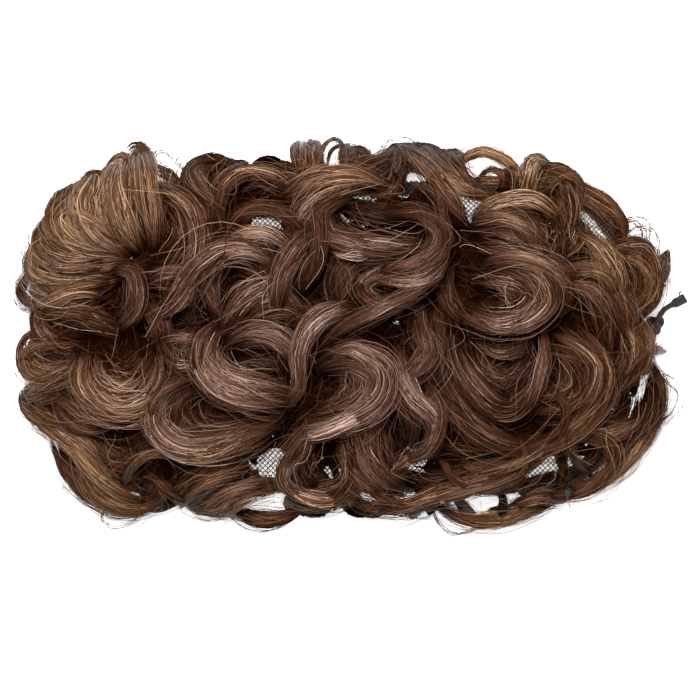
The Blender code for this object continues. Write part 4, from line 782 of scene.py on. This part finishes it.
def lay_lock(line, width, flatness, tone, count, steps):
    """One lock along a line: a few bundles side by side, drawn darker than the strands as painted
    shade of the lock's inside, which drift and cross, and the strands that lie round them. Both get
    painted shade towards the lock's ends and a painted highlight where the lock runs across the light."""
    aside, over = frames(line)
    at = np.linspace(0, 1, len(line))
    crest_at = np.sin(math.pi * at) ** 0.7
    bundles = int(np.clip(round(width / BUNDLE_WIDTH), 2, 5))
    home = (np.arange(bundles) + 0.5) / bundles * 2 - 1 + dice.normal(0, 0.08, bundles)
    drift = dice.normal(0, BUNDLE_DRIFT, (bundles, 2))
    wave = dice.uniform(0, math.tau, (bundles, 3))
    shift = (home * 0.66)[:, None] + drift[:, :1] * (1 - at) ** 2 + drift[:, 1:] * at**2
    shift = shift + 0.07 * np.sin(at * 7 + wave[:, :1])
    rise = 0.34 * (1 - shift**2) + 0.22 * np.sin(at * 4.5 + wave[:, 1:2])
    swell_at = LOCK_END + (1 - LOCK_END) * crest_at
    swell_at = swell_at * (1 + 0.16 * np.sin(at * 5 + dice.uniform(0, math.tau)))
    half = width / 2
    ahead = np.gradient(line, axis=0)
    ahead /= np.linalg.norm(ahead, axis=1)[:, None]
    # Painted highlight and shade: paler where the lock runs from end to end of the hair, across the light
    # from the far side, and darker where it runs towards the light, most in the lock's middle.
    painted_highlight_at = LOCK_PAINTED_HIGHLIGHT * (np.abs(ahead[:, 0]) - 0.6) * crest_at
    pace = spaced_by_turns(line, ahead, steps)

    share = 0.02 + 0.96 * pace
    grow = np.minimum(1, 5 * np.minimum(share, 1 - share))
    body_lines, body_girths = [], []
    for bundle in range(bundles):
        side = np.interp(share, at, shift[bundle] * swell_at) * half
        lift = np.interp(share, at, rise[bundle] * swell_at) * half * flatness
        spine = np.stack([np.interp(share, at, line[:, k]) for k in range(3)], axis=1)
        beside = np.stack([np.interp(share, at, aside[:, k]) for k in range(3)], axis=1)
        above = np.stack([np.interp(share, at, over[:, k]) for k in range(3)], axis=1)
        body_lines.append(spine + beside * side[:, None] + above * lift[:, None])
        reach = half * np.interp(share, at, swell_at) * grow * 1.05
        girths = [reach / bundles * 1.15 + 0.00005, reach * flatness * 0.62 + 0.00005]
        body_girths.append(np.stack(girths, axis=1))
    # Painted shade: the bundles are darker than the strands, as the lock's shaded inside, and darker still
    # towards the ends, where the lock dives; they take the painted highlight too.
    body_tones = tone * BODY_PAINTED_SHADE * (0.20 + 0.80 * np.interp(share, at, crest_at))
    body_tones = body_tones + np.interp(share, at, painted_highlight_at)
    body_tones = np.tile(body_tones, (bundles, 1)) + dice.normal(0, 0.03, (bundles, 1))
    body = tubes(np.array(body_lines), np.array(body_girths), np.clip(body_tones, 0, 1), 6)

    owner = dice.integers(0, bundles, count)
    loose = dice.random(count) < LOOSE_SHARE
    begin = dice.uniform(0, 0.13, (count, 1))
    end = 1 - dice.uniform(0, 0.13, (count, 1))
    share = begin + (end - begin) * pace
    where = share * (len(line) - 1)
    low = np.minimum(where.astype(int), len(line) - 2)
    part = (where - low)[:, :, None]
    spine, beside, above = (run[low] * (1 - part) + run[low + 1] * part for run in (line, aside, over))
    part = part[:, :, 0]
    swell, crest, painted_highlight = (
        run[low] * (1 - part) + run[low + 1] * part for run in (swell_at, crest_at, painted_highlight_at)
    )
    own = owner[:, None]
    middle = shift[own, low] * (1 - part) + shift[own, low + 1] * part
    lifted = rise[own, low] * (1 - part) + rise[own, low + 1] * part
    angle = dice.uniform(-0.12, 1.12, (count, 1)) * math.pi + dice.normal(0, 0.80, (count, 1)) * (share - 0.5)
    depth = dice.uniform(0.75, 1.25, (count, 1))
    depth = depth + 0.12 * np.sin(share * dice.uniform(3, 9, (count, 1)) + wave[owner, 2:])
    sideways = middle + np.cos(angle) * depth * 1.2 / bundles
    upwards = lifted + np.sin(angle) * depth * 0.66
    stray = dice.uniform(-LOOSE_REACH, LOOSE_REACH, (count, 1))
    stray = stray + dice.normal(0, 0.7, (count, 1)) * (share - 0.5) * 2
    sideways = np.where(loose[:, None], stray, sideways)
    top = np.sqrt(np.clip(1.15 - sideways**2, 0.05, 1)) + dice.uniform(-0.1, 0.28, (count, 1))
    upwards = np.where(loose[:, None], top, upwards)
    frizz = (dice.random(count) < FRIZZ_SHARE)[:, None]
    bow = dice.normal(0, 0.7, (count, 1)) * np.sin(math.pi * share)
    sideways = sideways + frizz * bow
    upwards = upwards + frizz * np.abs(bow) * 0.8
    crimp = np.sin(share * dice.uniform(10, 22, (count, 1)) + dice.uniform(0, math.tau, (count, 1)))
    crimp = CRIMP_DEPTH * crimp
    strands = spine + beside * (sideways * swell * half + crimp)[:, :, None]
    strands += above * (upwards * swell * half * flatness)[:, :, None]
    strands[:, :, 2] = np.maximum(strands[:, :, 2], 0.0002)
    lean = np.clip(sideways, -1, 1)[:, :, None] * 0.9 + dice.normal(0, 0.35, (count, 1, 1))
    facing = beside * np.cos(lean) - above * np.sin(lean)
    taper = np.minimum(1, 0.25 + 5 * np.minimum(np.linspace(0, 1, steps), np.linspace(1, 0, steps)))
    half_widths = facing * (STRAND_WIDTH / 2 * dice.uniform(0.7, 1.2, (count, 1)) * taper)[:, :, None]
    tones = tone + dice.normal(0, BUNDLE_TONES, bundles)[owner][:, None]
    tones = tones + dice.normal(0, STRAND_TONES, (count, 1)) + painted_highlight
    ripple = np.sin(share * dice.uniform(5, 12, (count, 1)) + dice.uniform(0, math.tau, (count, 1)))
    tones = tones + 0.05 * ripple
    # Painted shade: each strand is drawn darker towards the lock's ends, where the lock dives under its
    # neighbours.
    tones = np.clip(tones * (END_PAINTED_SHADE + (1 - END_PAINTED_SHADE) * crest), 0, 1)
    return [body, ribbons(strands, half_widths, tones)]


def hair_strands(name, gloss):
    """Brown fibre from near black to pale mauve brown by tone, with a fine grain that runs along
    the strands."""
    material, tree, shader = plain_material(name, (0.10, 0.055, 0.038), 0.40)
    shader.inputs["Specular IOR Level"].default_value = gloss
    shader.inputs["Specular Tint"].default_value = (1.0, 0.72, 0.55, 1)
    tone = tree.nodes.new("ShaderNodeAttribute")
    tone.attribute_name = "tone"
    grain = tree.nodes.new("ShaderNodeAttribute")
    grain.attribute_name = "grain"
    stretch = tree.nodes.new("ShaderNodeVectorMath")
    stretch.operation = "MULTIPLY"
    stretch.inputs[1].default_value = (30, 3400, 13.7)
    streaks = tree.nodes.new("ShaderNodeTexNoise")
    streaks.inputs["Scale"].default_value = 1.0
    streaks.inputs["Detail"].default_value = 3
    lift = tree.nodes.new("ShaderNodeMath")
    lift.operation = "MULTIPLY_ADD"
    lift.inputs[1].default_value = 0.56
    lift.inputs[2].default_value = -0.29
    total = tree.nodes.new("ShaderNodeMath")
    total.operation = "ADD"
    shades = tree.nodes.new("ShaderNodeValToRGB")
    ramp = shades.color_ramp
    ramp.elements[0].position = 0.0
    ramp.elements[0].color = (0.0028, 0.0008, 0.0004, 1)
    ramp.elements[1].position = 1.0
    ramp.elements[1].color = (0.50, 0.360, 0.275, 1)
    for position, colour in (
        (0.25, (0.0175, 0.0052, 0.0019, 1)),
        (0.50, (0.071, 0.0310, 0.0170, 1)),
        (0.75, (0.205, 0.128, 0.093, 1)),
    ):
        ramp.elements.new(position).color = colour
    place = tree.nodes.new("ShaderNodeTexCoord")
    shrink = tree.nodes.new("ShaderNodeVectorMath")
    shrink.operation = "MULTIPLY"
    shrink.inputs[1].default_value = (1 / hair_half.x, 1 / hair_half.y, 0)
    outwards = tree.nodes.new("ShaderNodeVectorMath")
    outwards.operation = "LENGTH"
    clouds = tree.nodes.new("ShaderNodeTexNoise")
    clouds.inputs["Scale"].default_value = 42
    gold = tree.nodes.new("ShaderNodeMath")
    gold.operation = "ADD"
    tints = tree.nodes.new("ShaderNodeValToRGB")
    tints.color_ramp.elements[0].position = 0.62
    tints.color_ramp.elements[0].color = (0.97, 0.95, 1.0, 1)
    tints.color_ramp.elements[1].position = 0.92
    tints.color_ramp.elements[1].color = (1.0, 0.90, 0.64, 1)
    half = tree.nodes.new("ShaderNodeMath")
    half.operation = "MULTIPLY"
    half.inputs[1].default_value = 0.62
    tinted = tree.nodes.new("ShaderNodeMixRGB")
    tinted.blend_type = "MULTIPLY"
    tinted.inputs["Fac"].default_value = 1.0
    relief = tree.nodes.new("ShaderNodeBump")
    relief.inputs["Distance"].default_value = 0.0003
    relief.inputs["Strength"].default_value = 0.6
    wire(
        tree,
        (grain.outputs["Vector"], stretch.inputs[0]),
        (stretch.outputs["Vector"], streaks.inputs["Vector"]),
        (streaks.outputs["Fac"], lift.inputs[0]),
        (lift.outputs["Value"], total.inputs[0]),
        (tone.outputs["Fac"], total.inputs[1]),
        (total.outputs["Value"], shades.inputs["Fac"]),
        (place.outputs["Object"], shrink.inputs[0]),
        (shrink.outputs["Vector"], outwards.inputs[0]),
        (place.outputs["Object"], clouds.inputs["Vector"]),
        (outwards.outputs["Value"], gold.inputs[0]),
        (clouds.outputs["Fac"], gold.inputs[1]),
        (gold.outputs["Value"], half.inputs[0]),
        (half.outputs["Value"], tints.inputs["Fac"]),
        (shades.outputs["Color"], tinted.inputs["Color1"]),
        (tints.outputs["Color"], tinted.inputs["Color2"]),
        (tinted.outputs["Color"], shader.inputs["Base Color"]),
        (streaks.outputs["Fac"], relief.inputs["Height"]),
        (relief.outputs["Normal"], shader.inputs["Normal"]),
    )
    return material


hair_low, hair_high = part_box("curled_hair")
hair_half = (hair_high - hair_low) / 2
brown_hair = hair_strands("brown_hair", 0.05)
dice = np.random.default_rng(5)
zone_groups = {name: [] for name, _, _ in ZONES}
for name, percent, level, tone, places in LOCKS:
    width = percent / 100 * hair_half.x
    plan = spread(places)
    line = smooth_run(np.column_stack([plan, np.zeros(len(plan))]), LINE_POINTS)
    crest = np.sin(math.pi * np.linspace(0, 1, LINE_POINTS)) ** 0.7
    thick = width * LOCK_FLATNESS
    height = mound_height(line[:, 0], line[:, 1]) * (LEVEL_LOW + LEVEL_STEP * level)
    line[:, 2] = np.maximum(height - thick / 2 - LOCK_DIVE * (1 - crest), thick / 2)
    middle = np.mean([place[0] for place in places])
    zone = next(name for name, low, high in ZONES if low <= middle < high)
    leaps = np.diff(line, axis=0)
    turns = np.linalg.norm(np.diff(leaps / np.linalg.norm(leaps, axis=1)[:, None], axis=0), axis=1)
    steps = round(np.linalg.norm(leaps, axis=1).sum() / LOCK_STEP + turns.sum() / LOCK_TURN)
    steps = int(np.clip(steps, 9, 26))
    count = round(width * STRANDS_PER_METRE)
    zone_groups[zone] += lay_lock(line, width, LOCK_FLATNESS, TONE_LOW + tone * TONE_STEP, count, steps)
for name, groups in zone_groups.items():
    curls = join_up(name, groups, brown_hair)
    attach(curls, "root")
    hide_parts("curled_hair")

# The under-hair: the wefts that the curls grow from, bands of hair sewn flat on the net in
# short arcs, with shorter strands over them, all drawn darker than the curls as painted shade of
# the hollows between them. It is left out where the net shows through.
WEFT_COUNT = 3400
WEFT_STEPS = 6
UNDER_COUNT = 2400
UNDER_STEPS = 11
WEFT_LENGTHS = (0.012, 0.024)
WEFT_WIDTHS = (0.0009, 0.0018)
WEFT_CLEAR = 0.0014
UNDER_LENGTHS = (0.022, 0.050)
UNDER_CLEAR = 0.0002
# The bare patches: places and radii, in percent as above, where the photo shows net or table.
BARE_PATCHES = [
    (-24, 57.5, 2.9), (4, 71, 2.8), (7.5, 69.5, 2.4), (2, 59.5, 0.6), (6.5, 57, 0.8),
    (31, -92, 3.0), (-54, 80, 4.2), (-3, 92, 3.5), (41, 86, 2.4), (46, 86, 2.4),
    (44, 77, 2.4), (43, 71, 2.4), (37.5, 66, 2.4), (75, 61, 2.6), (78, 57, 3.0),
    (81, 52, 2.2), (89, 56, 3.0), (97, -25, 4.0), (92, -41, 3.6), (-21, -64, 3.8),
    (-6, -71, 2.4), (-24, -83, 4.6), (9, -79, 3.6), (16, -79, 3.6), (22, -62, 2.4),
    (42.5, -83, 3.2), (50, -81, 2.0), (60, -66, 4.4), (73, -68, 4.4), (83, -56, 2.4),
    (-65, -84, 2.6), (18.5, 71.5, 1.4), (19.8, 74.5, 1.6), (21.2, 78, 1.8),
]


def clears_patches(shares, margin):
    """Whether places, in percent, keep a margin in percent of the half length off the patches."""
    apart = (shares[:, None, :] - patches[None, :, :2]) * (1, hair_half.y / hair_half.x)
    return (np.linalg.norm(apart, axis=2) > patches[None, :, 2] + margin).all()


def lay_arcs(count, steps, lengths, half_width):
    """Short arcs scattered over the net, clear of the bare patches, as lines on the table."""
    lines = []
    share = np.linspace(0, 1, steps)
    while len(lines) < count:
        heading = dice.uniform(0, math.tau) + dice.choice((-1, 1)) * dice.uniform(0.6, 2.4) * share
        length = dice.uniform(*lengths)
        ahead = np.stack([np.cos(heading), np.sin(heading)], axis=1) * length / steps
        first = dice.uniform((-0.95, -0.93), (0.95, 0.93)) * (hair_half.x, hair_half.y)
        places = first + np.cumsum(ahead, axis=0)
        shares = places / (hair_half.x, hair_half.y) * 100
        rim = (np.abs(shares / 100) ** PLAN_POWER).sum(axis=1) ** (1 / PLAN_POWER)
        if clears_patches(shares, half_width / hair_half.x * 100) and (rim < 0.90).all():
            lines.append(places)
    return np.dstack([np.array(lines), np.zeros((count, steps))])


def raise_arcs(lines, lowest, highest):
    """Lifts arcs to between the net and a share of the hair's outer height."""
    x, y = lines[:, :, 0], lines[:, :, 1]
    floor = net_height(x, y) + 0.0012
    roof = np.maximum(mound_height(x, y) * 0.66, floor + 0.0005)
    part = dice.uniform(lowest, highest, (len(lines), 1))
    lines[:, :, 2] = floor + (roof - floor) * part
    arch = np.sin(math.pi * np.linspace(0, 1, lines.shape[1]))
    lines[:, :, 2] += arch * 0.0015 - 0.0015
    return lines


patches = np.array(BARE_PATCHES, float)
wefts = raise_arcs(lay_arcs(WEFT_COUNT, WEFT_STEPS, WEFT_LENGTHS, WEFT_CLEAR), 0.0, 0.45)
aside, over = frames(wefts)
lean = dice.normal(0, 0.25, (WEFT_COUNT, 1, 1))
weft_widths = (aside * np.cos(lean) + over * np.sin(lean)) * dice.uniform(*WEFT_WIDTHS, (WEFT_COUNT, 1, 1))
# Painted shade: the wefts and the under strands get low tones, as the shade deep in the hollows.
weft_painted_shade = np.tile(dice.uniform(0.02, 0.16, (WEFT_COUNT, 1)), (1, WEFT_STEPS))
strands = raise_arcs(lay_arcs(UNDER_COUNT, UNDER_STEPS, UNDER_LENGTHS, UNDER_CLEAR), 0.2, 1.0)
aside, over = frames(strands)
lean = dice.normal(0, 0.5, (UNDER_COUNT, 1, 1))
strand_widths = (aside * np.cos(lean) + over * np.sin(lean)) * STRAND_WIDTH * 0.38
under_painted_shade = np.tile(dice.uniform(0.05, 0.42, (UNDER_COUNT, 1)), (1, UNDER_STEPS))
under_groups = [ribbons(wefts, weft_widths, weft_painted_shade), ribbons(strands, strand_widths, under_painted_shade)]
under = join_up("under_hair", under_groups, hair_strands("shaded_hair", 0.0))
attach(under, "root")

# The falls: locks at the rim that hang over the hem to the table all round and sweep along it. One
# that would cover a bare patch starts farther out or sweeps otherwise, or is left out.
FALL_COUNT = 116
FALL_WIDTH = 0.0056
FALL_TOPS = (0.78, 0.84, 0.89)
FALL_SWINGS = (1, 0.5, 0, -0.5, -1)
FALL_FOOT = 0.95
FALL_LIFT = 0.62
FALL_DROP = 0.85
FALL_LANDING = 0.65
FALL_SWEEP = 0.20
FALL_STEPS = 11
FALL_STRANDS = 26
# The hair's outline on the table, in percent of its half length and half depth, from the left end
# over the far side: the falls end inside it.
OUTLINE = [
    (-100, 18), (-98, 24), (-95, 35), (-93, 50), (-90, 58), (-87, 71), (-79, 79), (-71, 89),
    (-64, 100), (-60, 90), (-53, 85), (-48, 76), (-47, 86), (-37, 91), (-30, 85), (-14, 85),
    (-12, 97), (5, 95), (12, 92), (17, 100), (25, 97), (36, 94), (45, 94), (54, 82), (58, 88),
    (65, 84), (73, 76), (78, 70), (86, 60), (92, 58), (94, 50), (100, 42), (96, 32), (97, 25),
    (96, 15), (92, 8), (92, 2), (95, -10), (99, -22), (98, -35), (94, -52), (90, -62), (80, -76),
    (72, -82), (60, -84), (50, -90), (42, -94), (30, -97), (20, -90), (6, -91), (2, -84),
    (-13, -87), (-24, -94), (-42, -91), (-51, -84), (-57, -88), (-68, -94), (-78, -85),
    (-85, -70), (-89, -55), (-94, -44), (-101, -30), (-98, -5), (-94, 8),
]

rim = np.array(OUTLINE, float) / 100
rim_turns = np.arctan2(rim[:, 1], rim[:, 0])
order = np.argsort(rim_turns)
rim_turns, rim_reach = rim_turns[order], np.linalg.norm(rim, axis=1)[order]
fall_groups = []
share = np.linspace(0, 1, FALL_STEPS)
drop = np.minimum(1, share / FALL_LANDING)
for number in range(FALL_COUNT):
    angle = math.tau * (number + 0.5) / FALL_COUNT
    for start, sweep in [(start, swing) for start in FALL_TOPS for swing in FALL_SWINGS]:
        turn = angle + sweep * FALL_SWEEP * (1 + 0.4 * math.sin(2.4 * number)) * share**2
        square = np.abs(np.cos(turn)) ** PLAN_POWER + np.abs(np.sin(turn)) ** PLAN_POWER
        square = square ** (1 / PLAN_POWER)
        limit = np.interp(turn, rim_turns, rim_reach, period=math.tau)
        limit = limit - FALL_WIDTH / 2 / hair_half.y * 0.8
        foot_reach = np.minimum(FALL_FOOT / square, limit)
        reach = start / square + (foot_reach - start / square) * np.sin(math.pi / 2 * drop)
        shares = np.stack([reach * np.cos(turn), reach * np.sin(turn)], axis=1)
        clear = clears_patches(shares * 100, FALL_WIDTH / 2 / hair_half.x * 80)
        if clear and (foot_reach > start / square).all():
            break
    else:
        continue
    top = FALL_LIFT * 2 * hair_half.z * (0.85 + 0.15 * math.sin(3.1 * number))
    foot = FALL_WIDTH * LOCK_FLATNESS / 2 + 0.0002
    line = np.column_stack([shares * (hair_half.x, hair_half.y), top + (foot - top) * drop**FALL_DROP])
    tone = 0.34 + 0.10 * math.sin(1.7 * number)
    line = smooth_run(line, LINE_POINTS)
    fall_groups += lay_lock(line, FALL_WIDTH, LOCK_FLATNESS, tone, FALL_STRANDS, FALL_STEPS)
falls = join_up("rim_falls", fall_groups, brown_hair)
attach(falls, "root")

# The flyaways: single hairs that have sprung out of the curls and arch over them, and a few thin
# loops of hairs that stand clear of the outline.
FLY_COUNT = 2500
FLY_STEPS = 14
FLY_WIDTH = 0.00013
LOOP_HAIRS = 7
LOOP_SPREAD = 0.0005
LOOP_WIDTH = 0.00019
LOOP_TONE_DROP = 0.18
LOOPS = [
    [(-60, 88), (-58, 91), (-55, 92.5), (-51, 88), (-48, 82)],
    [(83, 56), (87, 60.5), (92, 59.5), (93.5, 54), (92.5, 46)],
    [(82, 50), (85.5, 57), (90, 58), (92, 52), (91, 45)],
    [(84, 48), (88, 54), (93, 54), (96, 48), (96, 41)],
    [(80, 58), (86, 58.5), (90, 54), (90, 48), (86, 44)],
    [(97.5, -18), (101.5, -22), (104, -28), (103, -36), (98, -44)],
    [(97.5, -20), (100.5, -24), (102, -30), (100.5, -37), (96.5, -43)],
    [(-60, -86), (-64, -93), (-70, -95.5), (-74, -91), (-72, -84)],
    [(26, -80), (28.5, -92), (33, -98.5), (39, -97), (44, -90)],
    [(11, 92), (12.5, 97), (15, 99.5), (19, 100), (23, 96)],
]

fly_lines = []
for _ in range(FLY_COUNT):
    _, _, level, _, places = LOCKS[dice.integers(0, len(LOCKS))]
    shift = dice.normal(0, 3.2, 2)
    swing = dice.normal(0, 2.4, (len(places), 2))
    plan = spread(np.clip(np.array(places) + shift + swing, -100, 100))
    line = smooth_run(np.column_stack([plan, np.zeros(len(plan))]), LINE_POINTS)
    begin = dice.integers(0, LINE_POINTS // 2)
    line = line[np.linspace(begin, begin + LINE_POINTS // 2 - 1, FLY_STEPS).astype(int)]
    arch = np.sin(math.pi * np.linspace(0, 1, FLY_STEPS))
    height = mound_height(line[:, 0] * 0.97, line[:, 1] * 0.97) * (LEVEL_LOW + LEVEL_STEP * level)
    line[:, 2] = np.clip(height - 0.004 + arch * dice.uniform(0.001, 0.007), 0.003, 0.066)
    fly_lines.append(line)
for loop in LOOPS:
    for _ in range(LOOP_HAIRS):
        plan = spread(loop) + dice.normal(0, LOOP_SPREAD, (len(loop), 2)) + dice.normal(0, LOOP_SPREAD, 2)
        line = smooth_run(np.column_stack([plan, np.zeros(len(loop))]), FLY_STEPS)
        line[:, 2] = 0.010 + 0.006 * np.sin(math.pi * np.linspace(0, 1, FLY_STEPS)) + dice.normal(0, 0.0006)
        fly_lines.append(line)
fly_lines = np.array(fly_lines)
is_loop = np.arange(len(fly_lines)) >= FLY_COUNT
tones = np.clip(dice.normal(0.48, 0.16, len(fly_lines)) - LOOP_TONE_DROP * is_loop, 0, 1)
tones = np.tile(tones[:, None], (1, FLY_STEPS))
aside, over = frames(fly_lines)
lean = dice.normal(0, 0.5, (len(fly_lines), 1, 1))
widths = np.where(is_loop, LOOP_WIDTH, FLY_WIDTH)[:, None, None]
half_widths = (aside * np.cos(lean) + over * np.sin(lean)) * widths / 2
fly = join_up("flyaway_hairs", [ribbons(fly_lines, half_widths, tones)], brown_hair)
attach(fly, "root")

# The tuft: the bound root end of a lock that sticks out past the hem under the drawstring.
TUFT_STRANDS = 40
TUFT_STEPS = 8
TUFT_WIDTH = 0.0042
TUFT_FLATNESS = 0.7
TUFT_TONE = 0.5
TUFT_ROUTE = [(91, -5), (94, -5.6), (97, -6.6), (99.5, -7.4)]
TUFT_HEIGHTS = (0.009, 0.008, 0.006, 0.005)

tuft_material = mottled(
    "tuft_hair",
    (0.16, 0.075, 0.075),
    0.5,
    scale=2200,
    dark=(0.05, 0.028, 0.030),
    pale=(0.46, 0.29, 0.32),
    ends=(0.40, 0.60),
)
tuft_line = smooth_run(np.column_stack([spread(TUFT_ROUTE), TUFT_HEIGHTS]), LINE_POINTS)
tuft_groups = lay_lock(tuft_line, TUFT_WIDTH, TUFT_FLATNESS, TUFT_TONE, TUFT_STRANDS, TUFT_STEPS)
tuft = join_up("rim_tuft", tuft_groups, tuft_material)
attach(tuft, "root")

# The room: a plain white table, a white surround and one large soft light above, a little towards
# the far side.
TABLE_SIZE = 3.0
TABLE_GLOW = 0.80
LAMP_PLACE = (-0.12, 0.35, 1.20)
LAMP_SIZE = 0.60
LAMP_POWER = 36
ROOM_GLOW = 0.28

table_mesh = bpy.data.meshes.new("table")
edge = TABLE_SIZE / 2
table_corners = [(-edge, -edge, 0), (edge, -edge, 0), (edge, edge, 0), (-edge, edge, 0)]
table_mesh.from_pydata(table_corners, [], [(0, 1, 2, 3)])
table_white, tree, shader = plain_material("table_white", (0.92, 0.92, 0.93), 0.8)
shader.inputs["Emission Color"].default_value = (1, 1, 1, 1)
shader.inputs["Emission Strength"].default_value = TABLE_GLOW
table_mesh.materials.append(table_white)
table_top = bpy.data.objects.new("table", table_mesh)
table_top.location.z = -0.0002
bpy.context.scene.collection.objects.link(table_top)

lamp = bpy.data.objects.new("soft_light", bpy.data.lights.new("soft_light", "AREA"))
lamp.data.shape = "DISK"
lamp.data.size = LAMP_SIZE
lamp.data.energy = LAMP_POWER
lamp.location = LAMP_PLACE
lamp_x, lamp_y, lamp_z = LAMP_PLACE
lamp.rotation_euler = (-math.atan2(lamp_y, lamp_z), math.atan2(lamp_x, lamp_z), 0)
bpy.context.scene.collection.objects.link(lamp)

world = bpy.data.worlds.new("white_room")
world.use_nodes = True
world.node_tree.nodes["Background"].inputs["Color"].default_value = (1, 1, 1, 1)
world.node_tree.nodes["Background"].inputs["Strength"].default_value = ROOM_GLOW
bpy.context.scene.world = world
bpy.context.scene.view_settings.view_transform = "Standard"

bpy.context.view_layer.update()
